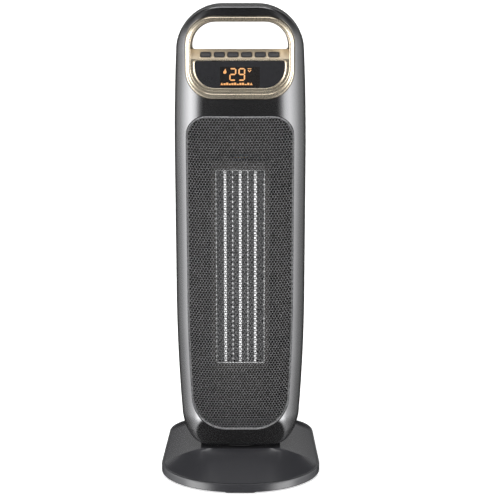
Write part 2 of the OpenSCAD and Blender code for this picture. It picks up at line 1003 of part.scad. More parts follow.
module power_board() {
    board_half_w = 42;
    board_bottom = 405;
    board_top = 465;
    hole_r = 1.3;
    color([0.12, 0.36, 0.22])
        difference() {
            box(-board_half_w, board_half_w, board_y, board_y + pcb_t, board_bottom, board_top);
            for (x = [-board_post_x, board_post_x], z = board_post_heights)
                cyl_y(x, z, hole_r, board_y - cut, board_y + pcb_t + cut);
        }
}

module board_relays() {
    first_x = -30;
    pitch = 18;
    side = 15;
    relay_bottom = 440;
    relay_top = 459;
    color([0.15, 0.30, 0.60])
        for (i = [0 : 2])
            box(first_x + i * pitch, first_x + side + i * pitch, board_y - side, board_y, relay_bottom, relay_top);
}

module board_capacitors() {
    first_x = -22;
    pitch = 15;
    can_r = 5;
    can_len = 16;
    can_z = 422;
    color([0.14, 0.16, 0.30])
        for (i = [0 : 2])
            cyl_y(first_x + i * pitch, can_z, can_r, board_y - can_len, board_y);
}

module switch_housing() {
    body_from = 41;
    body_proud = 0.4;
    flange_half_w = 12.5;
    flange_half_h = 14.5;
    flange_t = 1.5;
    pocket_half_w = 6.4;
    pocket_half_h = 9.6;
    pocket_from = 43;
    pin_reach = 9;
    color([0.10, 0.10, 0.10])
        difference() {
            union() {
                box(-switch_half_w, switch_half_w, body_from, rear_y + body_proud,
                    rocker_z - switch_half_h, rocker_z + switch_half_h);
                box(-flange_half_w, flange_half_w, rear_y, rear_y + flange_t,
                    rocker_z - flange_half_h, rocker_z + flange_half_h);
            }
            box(-pocket_half_w, pocket_half_w, pocket_from, rear_y + flange_t + cut,
                rocker_z - pocket_half_h, rocker_z + pocket_half_h);
            translate([-pin_reach, rocker_y, rocker_z])
                rotate([0, 90, 0])
                    cylinder(r = rocker_pin_r + running_gap, h = 2 * pin_reach);
        }
}

module rocker_key() {
    key_half_w = 6;
    pin_reach = 8.8;
    key_side = [[-3, -6.5], [4.8, -rocker_arm], [3.4, 0], [4.8, rocker_arm], [-3, 6.5]];
    color([0.55, 0.10, 0.08])
        translate([0, rocker_y, rocker_z])
            rotate([rocker_tilt, 0, 0]) {
                rotate([90, 0, 90])
                    translate([0, 0, -key_half_w])
                        linear_extrude(height = 2 * key_half_w)
                            polygon(key_side);
                translate([-pin_reach, 0, 0])
                    rotate([0, 90, 0])
                        cylinder(r = rocker_pin_r, h = 2 * pin_reach);
            }
}

// ---------------------------------------------------------------- swivel

// Involute of a circle of radius rb, at unrolled angle t in degrees
function involute(rb, t) =
    [rb * (cos(t) + t * PI / 180 * sin(t)), rb * (sin(t) - t * PI / 180 * cos(t))];

// Unrolled angle at which the involute of rb reaches radius r
function unroll(rb, r) = sqrt(max(0, pow(r / rb, 2) - 1)) * 180 / PI;

function spin(p, a) = [p[0] * cos(a) - p[1] * sin(a), p[0] * sin(a) + p[1] * cos(a)];

// Outline of a spur gear with a tooth centred on +X
function gear_points(teeth) =
    let (rp = gear_module * teeth / 2, rb = rp * cos(pressure_angle), ra = rp + 0.85 * gear_module,
         rf = rp - 1.2 * gear_module, t0 = unroll(rb, max(rb, rf)), t1 = unroll(rb, ra),
         tp = unroll(rb, rp), inv = tp - pressure_angle,
         half_tooth = 90 / teeth - backlash / 2 / rp * 180 / PI, n = 5)
    [for (k = [0 : teeth - 1]) let (turn = k * 360 / teeth)
        each concat(
            [spin([rf, 0], turn - 180 / teeth)],
            [spin([rf, 0], turn - half_tooth - inv)],
            [for (i = [0 : n]) spin(involute(rb, t0 + (t1 - t0) * i / n), turn - half_tooth - inv)],
            [for (i = [n : -1 : 0]) let (p = involute(rb, t0 + (t1 - t0) * i / n))
                spin([p[0], -p[1]], turn + half_tooth + inv)],
            [spin([rf, 0], turn + half_tooth + inv)])];

module turntable() {
    flange_bottom = plateau_z + washer_t + flange_gap;
    color([0.30, 0.30, 0.31])
        difference() {
            union() {
                cyl_z(0, 0, turntable_r, flange_bottom, tower_bottom);
                cyl_z(0, 0, hub_r - running_gap, hub_bottom, flange_bottom);
            }
            cyl_z(0, 0, hub_bore_r, hub_bottom - cut, tower_bottom + cut);
        }
}

module swivel_retainer() {
    color([0.85, 0.85, 0.83])
        difference() {
            cyl_z(0, 0, retainer_r, retainer_top - retainer_t, retainer_top);
            cyl_z(0, 0, hub_r - running_gap, retainer_top - retainer_t - cut, retainer_top + cut);
        }
}

module swing_gear() {
    color([0.88, 0.87, 0.82])
        difference() {
            translate([0, 0, gear_bottom])
                rotate([0, 0, 90 + 180 / gear_teeth])
                    linear_extrude(height = gear_h)
                        polygon(gear_points(gear_teeth));
            cyl_z(0, 0, hub_r - running_gap, gear_bottom - cut, gear_bottom + gear_h + cut);
        }
}

module swing_pinion() {
    over = 0.5;
    shaft_len = 8;
    color([0.86, 0.85, 0.80])
        translate([0, gear_distance, 0]) {
            translate([0, 0, gear_bottom - over])
                rotate([0, 0, -90])
                    linear_extrude(height = gear_h + 2 * over)
                        polygon(gear_points(pinion_teeth));
            cyl_z(0, 0, pinion_shaft_r, swing_motor_top - shaft_len, gear_bottom);
        }
}

module swing_motor() {
    ear_reach = 33;
    ear_half_d = 5;
    ear_t = 2;
    ear_hole_x = 29;
    ear_hole_r = 1.8;
    bore_depth = 10;
    color([0.66, 0.67, 0.68])
        translate([0, gear_distance, 0])
            difference() {
                union() {
                    cyl_z(0, 0, swing_motor_r, plate_z + plate_t_base, swing_motor_top);
                    box(-ear_reach, ear_reach, -ear_half_d, ear_half_d, swing_motor_top - ear_t, swing_motor_top);
                }
                cyl_z(0, 0, pinion_shaft_r + running_gap, swing_motor_top - bore_depth, swing_motor_top + cut);
                for (x = [-ear_hole_x, ear_hole_x])
                    cyl_z(x, 0, ear_hole_r, swing_motor_top - ear_t - cut, swing_motor_top + cut);
            }
}

module thrust_washer() {
    color([0.92, 0.92, 0.90])
        difference() {
            cyl_z(0, 0, turntable_r - 2, plateau_z, plateau_z + washer_t);
            cyl_z(0, 0, hub_r + 2, plateau_z - cut, plateau_z + washer_t + cut);
        }
}

// ---------------------------------------------------------------- base

edge_steps = 4;

// Half outline of the base from the front centre to the rear centre
function base_half(inset) =
    concat(
        [for (i = [0 : 2 * arc_steps]) let (a = 90 * i / (2 * arc_steps))
            [(base_half_w - inset) * sin(a), widest_y - (base_front_d - inset) * cos(a)]],
        [for (i = [1 : edge_steps]) let (t = i / edge_steps)
            [base_half_w - inset + (rear_half_w - base_half_w) * t,
             widest_y + (base_rear_y - base_rear_r - widest_y) * t]],
        arc(rear_half_w - base_rear_r, base_rear_y - base_rear_r, base_rear_r - inset, 10, 90, arc_steps));

// Half outline of the flat top, point for point beside the base outline
function plateau_half(inset) =
    let (hw = plateau_half_w - inset, y0 = plateau_front_y + inset, y1 = plateau_rear_y - inset,
         r = plateau_corner_r)
    concat(
        [for (i = [0 : 2 * arc_steps]) let (t = i / (2 * arc_steps)) [hw * t, y0 - plateau_bow * (1 - t * t)]],
        [for (i = [1 : edge_steps]) [hw, y0 + (y1 - r - y0) * i / edge_steps]],
        arc(hw - r, y1 - r, r, 10, 90, arc_steps));

function raise(pts, z) = [for (p = pts) [p[0], p[1], z]];

// Hipped solid: an upright rim, then faces that rise to the flat top
module base_form(inset, z0, z1) {
    foot = both_sides(base_half(inset));
    top = both_sides(plateau_half(inset));
    n = len(foot);
    last = (n - 1) / 2;
    wall_faces = [for (ring = [0, 1], i = [0 : n - 1]) let (j = (i + 1) % n, a = ring * n)
        each [[a + i, a + n + i, a + j], [a + j, a + n + i, a + n + j]]];
    bottom_faces = concat([[0, 1, n - 1]], [for (i = [1 : last - 1])
        each [[i, i + 1, n - i], [n - i, i + 1, n - i - 1]]]);
    top_faces = [for (f = bottom_faces) [f[2] + 2 * n, f[1] + 2 * n, f[0] + 2 * n]];
    polyhedron(
        points = concat(raise(foot, z0), raise(foot, rim_top - inset / 2), raise(top, z1)),
        faces = concat(bottom_faces, wall_faces, top_faces));
}

base_screw_places = [[-44, -44], [44, -44], [-44, 54], [44, 54]];
base_boss_top = plateau_z - wall / 2;
inlet_z = 8.4;
inlet_r = 5.2;
inlet_len = 12;

module base_shell() {
    boss_r = 4;
    pilot_r = 1.5;
    color([0.17, 0.17, 0.18])
        difference() {
            union() {
                difference() {
                    base_form(0, plate_z, plateau_z);
                    base_form(wall, plate_z - cut, plateau_z - wall);
                }
                for (p = base_screw_places)
                    cyl_z(p[0], p[1], boss_r, plate_z + plate_t_base, base_boss_top);
            }
            cyl_z(0, 0, hub_r, plateau_z - 2 * wall, plateau_z + cut);
            for (p = base_screw_places)
                cyl_z(p[0], p[1], pilot_r, plate_z, rim_top);
            cyl_y(0, inlet_z, inlet_r, base_rear_y - inlet_len, base_rear_y + cut);
        }
}

module base_plate() {
    seat_r = 4;
    seat_h = 1.2;
    hole_r = 1.8;
    edge_gap = 0.1;
    plunger_gap = 0.4;
    color([0.12, 0.12, 0.12])
        difference() {
            translate([0, 0, plate_z])
                linear_extrude(height = plate_t_base)
                    polygon(both_sides(base_half(wall + edge_gap)));
            for (p = base_screw_places) {
                cyl_z(p[0], p[1], hole_r, plate_z - cut, plate_z + plate_t_base + cut);
                cyl_z(p[0], p[1], seat_r, plate_z - cut, plate_z + seat_h);
            }
            cyl_z(plunger_x, plunger_y, plunger_r + plunger_gap, plate_z - cut, plate_z + plate_t_base + cut);
            cyl_y(0, inlet_z, inlet_r + edge_gap, base_rear_y - inlet_len, base_rear_y);
        }
}

module base_feet() {
    front_pad_y = base_front_y + 9;
    side_pad_x = 82;
    side_pad_y = -24;
    rear_pad_x = 58;
    rear_pad_y = base_rear_y - 22;
    pad_r = 6;
    color([0.05, 0.05, 0.05]) {
        pad(0, front_pad_y, 15, 4.5);
        for (x = [-side_pad_x, side_pad_x])
            pad(x, side_pad_y, 3, pad_r);
        for (x = [-rear_pad_x, rear_pad_x])
            pad(x, rear_pad_y, 6, pad_r);
    }
}

// A foot pad with round ends, reach to each side of its middle
module pad(x, y, reach, r) {
    translate([x, y, 0]) {
        cyl_z(-reach, 0, r, 0, foot_h);
        cyl_z(reach, 0, r, 0, foot_h);
        box(-reach, reach, -r, r, 0, foot_h);
    }
}

module base_screws() {
    head_r = 3.6;
    head_h = 1.2;
    thread_r = 1.4;
    color([0.55, 0.55, 0.57])
        for (p = base_screw_places) {
            cyl_z(p[0], p[1], head_r, plate_z, plate_z + head_h);
            cyl_z(p[0], p[1], thread_r, plate_z + head_h, rim_top - 1);
        }
}

module ballast_plate() {
    ballast_half_w = 38;
    ballast_front = base_front_y + 16;
    ballast_back = -42;
    ballast_h = 6;
    color([0.42, 0.42, 0.44])
        box(-ballast_half_w, ballast_half_w, ballast_front, ballast_back,
            plate_z + plate_t_base, plate_z + plate_t_base + ballast_h);
}

module tip_switch() {
    half = 8;
    body_top = 18;
    bore_top = 16;
    color([0.85, 0.85, 0.82])
        difference() {
            box(plunger_x - half, plunger_x + half, plunger_y - half, plunger_y + half,
                plate_z + plate_t_base, body_top);
            cyl_z(plunger_x, plunger_y, plunger_r + running_gap, plate_z, bore_top);
        }
}

module tip_plunger() {
    plunger_len = 13;
    color([0.92, 0.92, 0.90])
        cyl_z(plunger_x, plunger_y, plunger_r, 0, plunger_len);
}

module cord_inlet() {
    bush_bore_r = 3.6;
    bush_front = base_rear_y - inlet_len + cut;
    color([0.08, 0.08, 0.08])
        difference() {
            cyl_y(0, inlet_z, inlet_r, bush_front, base_rear_y);
            cyl_y(0, inlet_z, bush_bore_r, bush_front - cut, base_rear_y + cut);
        }
}

// ---------------------------------------------------------------- nodes

base_shell();
base_plate();
base_feet();
base_screws();
thrust_washer();
ballast_plate();
swing_motor();
swing_pinion();
tip_switch();
tip_plunger();
cord_inlet();
turntable();
swivel_retainer();
swing_gear();
front_housing();
rear_housing();
housing_screws();
handle_ring();
handle_liner();
control_bezel();
display_window();
display_module();
display_segments();
display_board();
button_board();
button_switches();
push_button(1);  // button_1
push_button(2);  // button_2
push_button(3);  // button_3
push_button(4);  // button_4
push_button(5);  // button_5
push_button(6);  // button_6
front_grille();
air_baffle();
heater_frame();
heater_tubes();
ceramic_stones();
heater_fins();
heater_plates();
heater_terminals();
heater_brackets();
thermal_cutout();
thermal_fuse();
blower_scroll();
blower_motor();
motor_bracket();
upper_bearing();
lower_bearing();
impeller();
impeller_shaft();
intake_filter();
power_board();
board_relays();
board_capacitors();
switch_housing();
rocker_key();
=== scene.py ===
"""Visual model of a ceramic tower space heater, laid over its packed mechanical frame.

Every size is in metres, in the frame of the mechanical model: the front faces -Y, +X is to the right
as seen from the front, +Z is up, and the origin is on the floor under the middle of the base.
"""

from __future__ import annotations

import json
import logging
import math
from dataclasses import dataclass
from enum import Enum
from typing import Callable, Sequence

import bpy
import numpy as np
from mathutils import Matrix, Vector
from mathutils.geometry import delaunay_2d_cdt


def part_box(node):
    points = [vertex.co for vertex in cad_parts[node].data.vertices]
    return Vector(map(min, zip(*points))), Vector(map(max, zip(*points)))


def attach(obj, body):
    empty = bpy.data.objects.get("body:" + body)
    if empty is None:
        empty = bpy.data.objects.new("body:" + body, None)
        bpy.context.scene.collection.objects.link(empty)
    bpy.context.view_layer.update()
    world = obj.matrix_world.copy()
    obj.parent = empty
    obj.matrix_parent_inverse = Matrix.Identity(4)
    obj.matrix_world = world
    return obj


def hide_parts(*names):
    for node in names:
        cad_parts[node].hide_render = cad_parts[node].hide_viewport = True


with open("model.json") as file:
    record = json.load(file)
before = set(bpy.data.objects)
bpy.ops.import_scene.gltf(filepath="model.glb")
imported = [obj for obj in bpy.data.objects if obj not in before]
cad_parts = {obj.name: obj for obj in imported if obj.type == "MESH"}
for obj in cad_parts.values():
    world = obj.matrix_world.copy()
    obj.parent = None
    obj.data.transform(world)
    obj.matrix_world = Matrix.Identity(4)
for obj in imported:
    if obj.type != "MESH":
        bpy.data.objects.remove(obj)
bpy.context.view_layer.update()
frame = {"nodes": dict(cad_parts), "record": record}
LOG = logging.getLogger("heater")
Array = np.ndarray
Stops = tuple[tuple[float, float], ...]


# ---------------------------------------------------------------- outlines


@dataclass(frozen=True)
class Loop:
    """A closed outline in the XZ plane with the unit normals that point away from its inside."""

    points: Array
    normals: Array

    def grown(self, by: float) -> Loop:
        """Return the outline moved outwards."""
        return Loop(self.points + self.normals * by, self.normals)

    def at(self, y: float | Array) -> Array:
        """Return the outline as points in space at depth y."""
        depth = np.broadcast_to(y, len(self.points))
        return np.column_stack([self.points[:, 0], depth, self.points[:, 1]])

    def holds(self, x: Array, z: Array) -> Array:
        """Return which places lie inside the outline.

        Args:
            x: Places along X.
            z: Places along Z.

        Returns:
            A mask, true inside.
        """
        inside = np.zeros(np.shape(x), dtype=bool)
        for (x0, z0), (x1, z1) in zip(self.points, np.roll(self.points, -1, axis=0)):
            if z0 == z1:
                continue
            crosses = ((z0 > z) != (z1 > z)) & (x < (x1 - x0) * (z - z0) / (z1 - z0) + x0)
            inside ^= crosses
        return inside


def rounded(cx: float, half: float, z0: float, z1: float, low: float, high: float, steps: int = 10) -> Loop:
    """Make a rounded rectangle.

    Args:
        cx: Middle along X.
        half: Half width.
        z0: Bottom.
        z1: Top.
        low: Radius of the bottom corners.
        high: Radius of the top corners.
        steps: Spans in each corner.

    Returns:
        The outline, from the bottom right corner counter-clockwise.
    """
    corners = [
        (cx + half - low, z0 + low, low, -90),
        (cx + half - high, z1 - high, high, 0),
        (cx - half + high, z1 - high, high, 90),
        (cx - half + low, z0 + low, low, 180),
    ]
    edge_spans = 12
    points: list[Array] = []
    normals: list[Array] = []
    for index, (x, z, radius, start) in enumerate(corners):
        angles = np.radians(start + 90 * np.arange(steps + 1) / steps)
        arc_normals = np.column_stack([np.cos(angles), np.sin(angles)])
        arc_points = np.array([x, z]) + radius * arc_normals
        points.append(arc_points)
        normals.append(arc_normals)
        nx, nz, nr, nstart = corners[(index + 1) % 4]
        first = np.radians(nstart)
        target = np.array([nx + nr * math.cos(first), nz + nr * math.sin(first)])
        share = (np.arange(1, edge_spans) / edge_spans)[:, None]
        points.append(arc_points[-1] + (target - arc_points[-1]) * share)
        normals.append(np.repeat(arc_normals[-1:], edge_spans - 1, axis=0))
    return Loop(np.vstack(points), np.vstack(normals))


# ---------------------------------------------------------------- mesh drafting


class Draft:
    """Collects patches of surface and makes one mesh of them, with a crisp edge between patches."""

    def __init__(self) -> None:
        """Start with no patches."""
        self.points: list[Array] = []
        self.normals: list[Array] = []
        self.faces: list[tuple[int, ...]] = []
        self.finishes: list[int] = []
        self.count = 0

    def patch(self, points: Array, faces: Sequence[Sequence[int]], normals: Array | None = None,
              finish: int = 0) -> None:
        """Add a patch.

        Args:
            points: Its places.
            faces: Its faces, as places in points.
            normals: Its shading normals, or None to work them out from the faces.
            finish: Which of the piece's materials it takes.
        """
        self.points.append(points)
        self.normals.append(np.zeros_like(points) if normals is None else normals)
        self.faces += [tuple(int(i) + self.count for i in face) for face in faces]
        self.finishes += [finish] * len(faces)
        self.count += len(points)

    def grid(self, rows: Sequence[Array], closed: bool = False, flip: bool = False, finish: int = 0) -> None:
        """Add a patch that spans rows of places.

        Args:
            rows: Rows of equal length.
            closed: True if each row is a ring.
            flip: True to face the other way.
            finish: Which of the piece's materials it takes.
        """
        stack = np.array(rows, dtype=float)
        height, width = stack.shape[:2]
        across = width if closed else width - 1
        faces = []
        for r in range(height - 1):
            for c in range(across):
                n = (c + 1) % width
                face = (r * width + c, r * width + n, (r + 1) * width + n, (r + 1) * width + c)
                faces.append(face[::-1] if flip else face)
        self.patch(stack.reshape(-1, 3), faces, finish=finish)

    def cap(self, ring: Array, flip: bool = False, finish: int = 0) -> None:
        """Close a ring with one flat face."""
        order = range(len(ring))
        self.patch(np.array(ring), [tuple(reversed(order)) if flip else tuple(order)], finish=finish)

    def sweep(self, loop: Loop, profile: Sequence[tuple[float, float]], base: float | Array = 0.0,
              flip: bool = False, finish: int = 0) -> None:
        """Run a profile round an outline.

        Args:
            loop: The outline.
            profile: Pairs of outward offset and depth.
            base: Depth that the profile's depths count from.
            flip: True to face the other way.
            finish: Which of the piece's materials it takes.
        """
        rows = [loop.grown(out).at(np.asarray(base) + depth) for out, depth in profile]
        self.grid(rows, closed=True, flip=flip, finish=finish)

    def build(self, name: str, materials: Sequence[bpy.types.Material],
              place: Callable[[Array], Array] | None = None) -> bpy.types.Object:
        """Make the mesh object.

        Args:
            name: The piece's name.
            materials: Its materials, in the order of the finish numbers.
            place: Moves the places from the piece's own frame, if it has one.

        Returns:
            The new object.
        """
        points = np.vstack(self.points)
        normals = np.vstack(self.normals)
        if place is not None:
            points = place(points)
        mesh = bpy.data.meshes.new(name)
        mesh.from_pydata([tuple(p) for p in points], [], self.faces)
        mesh.polygons.foreach_set("material_index", self.finishes)
        mesh.polygons.foreach_set("use_smooth", [True] * len(self.faces))
        for material in materials:
            mesh.materials.append(material)
        mesh.update()
        if place is None and np.any(normals):
            mesh.normals_split_custom_set_from_vertices([tuple(n) for n in normals])
        piece = bpy.data.objects.new(name, mesh)
        bpy.context.scene.collection.objects.link(piece)
        return piece


def quarter(radius: float, steps: int = 5) -> list[tuple[float, float]]:
    """Return a rounded edge that starts flat and turns down: pairs of outward offset and depth."""
    angles = [math.pi / 2 * i / steps for i in range(steps + 1)]
    return [(radius * math.sin(a), radius * (1 - math.cos(a))) for a in angles]


def slab(draft: Draft, loop: Loop, front: float, back: float, edge: float, finish: int = 0) -> None:
    """Add a plate that faces the front, with rounded front edges.

    Args:
        draft: The draft it goes to.
        loop: Its outline.
        front: Depth of its face.
        back: Depth of its back.
        edge: Radius of its edges.
        finish: Which of the piece's materials it takes.
    """
    inner = loop.grown(-edge)
    draft.cap(inner.at(front), finish=finish)
    draft.sweep(inner, quarter(edge), front, flip=True, finish=finish)
    draft.sweep(loop, [(0, front + edge), (0, back)], flip=True, finish=finish)


def sheet(draft: Draft, outline: Loop, holes: Sequence[Loop], inner_points: Array,
          lift: Callable[[Array, Array], tuple[Array, Array]], towards: float, finish: int = 0) -> None:
    """Add a curved sheet with holes, triangulated between its outlines.

    Args:
        draft: The draft it goes to.
        outline: Its outer edge.
        holes: The edges of its holes.
        inner_points: Extra places that carry its curvature.
        lift: Gives places and normals in space for places in the plane.
        towards: -1 if it faces -Y and 1 if it faces +Y.
        finish: Which of the piece's materials it takes.
    """
    loops = [outline, *holes]
    x, z = inner_points.T
    keep = outline.grown(-0.0006).holds(x, z)
    for hole in holes:
        keep &= ~hole.grown(0.0012).holds(x, z)
    flat = [Vector(p) for loop in loops for p in loop.points] + [Vector(p) for p in inner_points[keep]]
    edges: list[tuple[int, int]] = []
    start = 0
    for loop in loops:
        n = len(loop.points)
        edges += [(start + i, start + (i + 1) % n) for i in range(n)]
        start += n
    verts, _, faces, _, _, _ = delaunay_2d_cdt(flat, edges, [], 0, 1e-7)
    places = np.array([tuple(v) for v in verts])
    triangles = np.array([tuple(f) for f in faces])
    middle = places[triangles].mean(axis=1)
    inside = outline.holds(*middle.T)
    for hole in holes:
        inside &= ~hole.holds(*middle.T)
    points, normals = lift(*places.T)
    kept = triangles[inside]
    a, b, c = (points[kept[:, i]] for i in range(3))
    wrong = np.cross(b - a, c - a)[:, 1] * towards < 0
    kept[wrong] = kept[wrong][:, ::-1]
    draft.patch(points, kept, normals, finish)


def plate(draft: Draft, outline: Loop, holes: Sequence[Loop], y: float, towards: float) -> None:
    """Add a flat sheet with holes.

    Args:
        draft: The draft it goes to.
        outline: Its outer edge.
        holes: The edges of its holes.
        y: Its depth.
        towards: -1 if it faces -Y and 1 if it faces +Y.
    """

    def lift(x: Array, z: Array) -> tuple[Array, Array]:
        """Lay the sheet flat."""
        return np.column_stack([x, np.full_like(x, y), z]), np.tile([0.0, towards, 0.0], (len(x), 1))

    sheet(draft, outline, holes, np.zeros((0, 2)), lift, towards)


# ---------------------------------------------------------------- shader wrappers


class Value:
    """A socket that adds Math nodes when Python arithmetic is done with it."""

    def __init__(self, shader: Shader, socket: bpy.types.NodeSocket) -> None:
        """Wrap a socket of a shader's node tree."""
        self.shader = shader
        self.socket = socket

    def _math(self, operation: str, first: object, second: object) -> Value:
        """Add one Math node for two operands."""
        return self.shader.node("ShaderNodeMath", {"operation": operation}, {0: first, 1: second})

    def __add__(self, other: Value | float) -> Value:
        """Add."""
        return self._math("ADD", self, other)

    __radd__ = __add__

    def __mul__(self, other: Value | float) -> Value:
        """Multiply."""
        return self._math("MULTIPLY", self, other)

    __rmul__ = __mul__

    def __sub__(self, other: Value | float) -> Value:
        """Take away."""
        return self._math("SUBTRACT", self, other)

    def __rsub__(self, other: Value | float) -> Value:
        """Take this from another."""
        return self._math("SUBTRACT", other, self)

    def __truediv__(self, other: Value | float) -> Value:
        """Divide."""
        return self._math("DIVIDE", self, other)

    def __pow__(self, other: Value | float) -> Value:
        """Raise to a power."""
        return self._math("POWER", self, other)

    def at_most(self, other: Value | float) -> Value:
        """Return the smaller."""
        return self._math("MINIMUM", self, other)

    def at_least(self, other: Value | float) -> Value:
        """Return the larger."""
        return self._math("MAXIMUM", self, other)

    def output(self, index: int) -> Value:
        """Return another output of the same node."""
        return Value(self.shader, self.socket.node.outputs[index])


class Shader:
    """The node tree of one material or world."""

    def __init__(self, tree: bpy.types.NodeTree) -> None:
        """Start from an empty tree."""
        self.tree = tree
        tree.nodes.clear()

    def node(self, kind: str, settings: dict[str, object] | None = None,
             inputs: dict[object, object] | None = None, output: object = 0) -> Value:
        """Add one node.

        Args:
            kind: The node's type.
            settings: Attributes set first; "stops" fills a colour ramp.
            inputs: Values or links of its sockets.
            output: Which output is returned.

        Returns:
            The chosen output.
        """
        made = self.tree.nodes.new(kind)
        for key, setting in (settings or {}).items():
            if key == "stops":
                self._ramp(made.color_ramp, setting)
            else:
                setattr(made, key, setting)
        for key, given in (inputs or {}).items():
            if isinstance(given, Value):
                self.tree.links.new(given.socket, made.inputs[key])
            else:
                made.inputs[key].default_value = given
        return Value(self, made.outputs[output] if len(made.outputs) else None)

    @staticmethod
    def _ramp(ramp: bpy.types.ColorRamp, stops: Stops) -> None:
        """Fill a colour ramp with greys.

        Args:
            ramp: The ramp.
            stops: Pairs of place and brightness.
        """
        while len(ramp.elements) < len(stops):
            ramp.elements.new(0.5)
        for element, (place, level) in zip(ramp.elements, stops):
            element.position = place
            element.color = (level, level, level, 1.0)

    def place(self) -> Value:
        """Return the object coordinates, which stay fixed on a piece."""
        return self.node("ShaderNodeTexCoord", output="Object")

    def level(self, at: Value, stops: Stops) -> Value:
        """Return a level that runs through stops of place and brightness."""
        return self.node("ShaderNodeValToRGB", {"stops": stops}, {0: at})

    def noise(self, at: Value, scale: float, detail: float = 2.0,
              stretch: tuple[float, float, float] | None = None) -> Value:
        """Add noise.

        Args:
            at: Where it is read.
            scale: Its fineness, in cells a metre.
            detail: Its octaves.
            stretch: Factors along X, Y and Z, or None.

        Returns:
            The noise, about 0 to 1.
        """
        if stretch is not None:
            at = self.node("ShaderNodeMapping", {}, {"Vector": at, "Scale": stretch})
        return self.node("ShaderNodeTexNoise", {}, {"Vector": at, "Scale": scale, "Detail": detail})

    def mix(self, share: Value | float, first: object, second: object) -> Value:
        """Mix two colours."""
        return self.node("ShaderNodeMix", {"data_type": "RGBA"}, {"Factor": share, 6: first, 7: second}, 2)


BRUSH_STRETCH = (1.0, 1.0, 0.04)


class Grain(Enum):
    """How a finish varies over a surface."""

    FLECK = "fleck"
    MOULDED = "moulded"
    BRUSHED = "brushed"
    SPANGLE = "spangle"
    SINTERED = "sintered"


@dataclass(frozen=True)
class Finish:
    """One finish: a base colour, how it varies, and how it shines."""

    name: str
    colour: tuple[float, float, float]
    second: tuple[float, float, float]
    rough: float
    grain: Grain = Grain.MOULDED
    rough_spread: float = 0.08
    fineness: float = 900.0
    bump: float = 0.05
    metallic: float = 0.0
    coat: float = 0.0
    coat_rough: float = 0.05
    glow: float = 0.0

    def _field(self, shader: Shader) -> Value:
        """Add the texture that drives this finish.

        Args:
            shader: The material's node tree.

        Returns:
            The pattern, about 0 to 1.
        """
        at = shader.place()
        if self.grain is Grain.BRUSHED:
            return shader.noise(at, self.fineness, 4.0, BRUSH_STRETCH)
        if self.grain is Grain.SPANGLE:
            return shader.node("ShaderNodeTexVoronoi", {}, {"Vector": at, "Scale": self.fineness})
        if self.grain is Grain.FLECK:
            cells = shader.node("ShaderNodeTexVoronoi", {}, {"Vector": at, "Scale": self.fineness})
            return shader.noise(at, 14.0, 2.0) * 0.6 + cells * 0.4
        if self.grain is Grain.SINTERED:
            return shader.noise(at, self.fineness, 8.0) * 0.7 + shader.noise(at, self.fineness * 0.1) * 0.3
        return shader.noise(at, self.fineness, 3.0) * 0.5 + shader.noise(at, 25.0, 2.0) * 0.5

    def material(self) -> bpy.types.Material:
        """Make the material, or find it if it was made before.

        Returns:
            The material.
        """
        known = bpy.data.materials.get(self.name)
        if known is not None:
            return known
        made = bpy.data.materials.new(self.name)
        made.use_nodes = True
        made.diffuse_color = (*self.colour, 1.0)
        shader = Shader(made.node_tree)
        pattern = self._field(shader)
        blend = ((pattern - 0.3) * 2.2).at_most(1.0).at_least(0.0)
        colour = shader.mix(blend, (*self.colour, 1.0), (*self.second, 1.0))
        relief = {"Strength": self.bump, "Distance": 0.0003, "Height": pattern}
        bumped = shader.node("ShaderNodeBump", {}, relief)
        inputs: dict[object, object] = {
            "Base Color": colour,
            "Roughness": (blend - 0.5) * self.rough_spread + self.rough,
            "Metallic": self.metallic,
            "Coat Weight": self.coat,
            "Coat Roughness": self.coat_rough,
            "Normal": bumped,
        }
        if self.glow:
            inputs["Emission Color"] = colour
            inputs["Emission Strength"] = self.glow
            inputs["Base Color"] = (0.02, 0.02, 0.02, 1.0)
        surface = shader.node("ShaderNodeBsdfPrincipled", {}, inputs)
        shader.node("ShaderNodeOutputMaterial", {}, {"Surface": surface})
        return made


BODY = Finish("gunmetal_gloss", (0.120, 0.120, 0.123), (0.150, 0.150, 0.154), 0.24, Grain.FLECK,
              0.05, 2600.0, 0.012, metallic=0.95, coat=0.35, coat_rough=0.08)
BODY_REAR = Finish("gunmetal_rear", (0.120, 0.120, 0.124), (0.150, 0.150, 0.155), 0.34, Grain.FLECK,
                   0.06, 2600.0, 0.02, metallic=0.9, coat=0.25, coat_rough=0.12)
BASE_GLOSS = Finish("base_gloss", (0.095, 0.095, 0.098), (0.120, 0.120, 0.124), 0.18, Grain.FLECK,
                    0.05, 2400.0, 0.012, metallic=0.95, coat=0.35, coat_rough=0.06)
GOLD = Finish("champagne_gold", (0.84, 0.73, 0.56), (0.90, 0.80, 0.64), 0.28, Grain.FLECK,
              0.06, 1400.0, 0.006, metallic=0.9, coat=0.25, coat_rough=0.1)
GOLD_SATIN = Finish("champagne_satin", (0.52, 0.44, 0.33), (0.62, 0.54, 0.42), 0.42, Grain.FLECK,
                    0.08, 3200.0, 0.03, metallic=0.75)
WINDOW = Finish("smoked_window", (0.020, 0.020, 0.022), (0.026, 0.026, 0.029), 0.16, Grain.MOULDED,
                0.03, 300.0, 0.01, coat=0.5, coat_rough=0.03)
LED_TILE = Finish("led_tile", (0.012, 0.011, 0.011), (0.018, 0.016, 0.015), 0.2, Grain.MOULDED, 0.03,
                  400.0, 0.01)
AMBER = Finish("amber_segments", (0.90, 0.36, 0.09), (0.95, 0.52, 0.22), 0.5, Grain.MOULDED, 0.05, 700.0,
               0.0, glow=1.15)
KEY = Finish("key_black", (0.028, 0.031, 0.031), (0.040, 0.043, 0.043), 0.34, Grain.MOULDED, 0.1, 2200.0,
             0.08)
MESH = Finish("mesh_black", (0.230, 0.230, 0.236), (0.350, 0.350, 0.358), 0.36, Grain.SPANGLE,
              0.2, 700.0, 0.05, metallic=0.4)
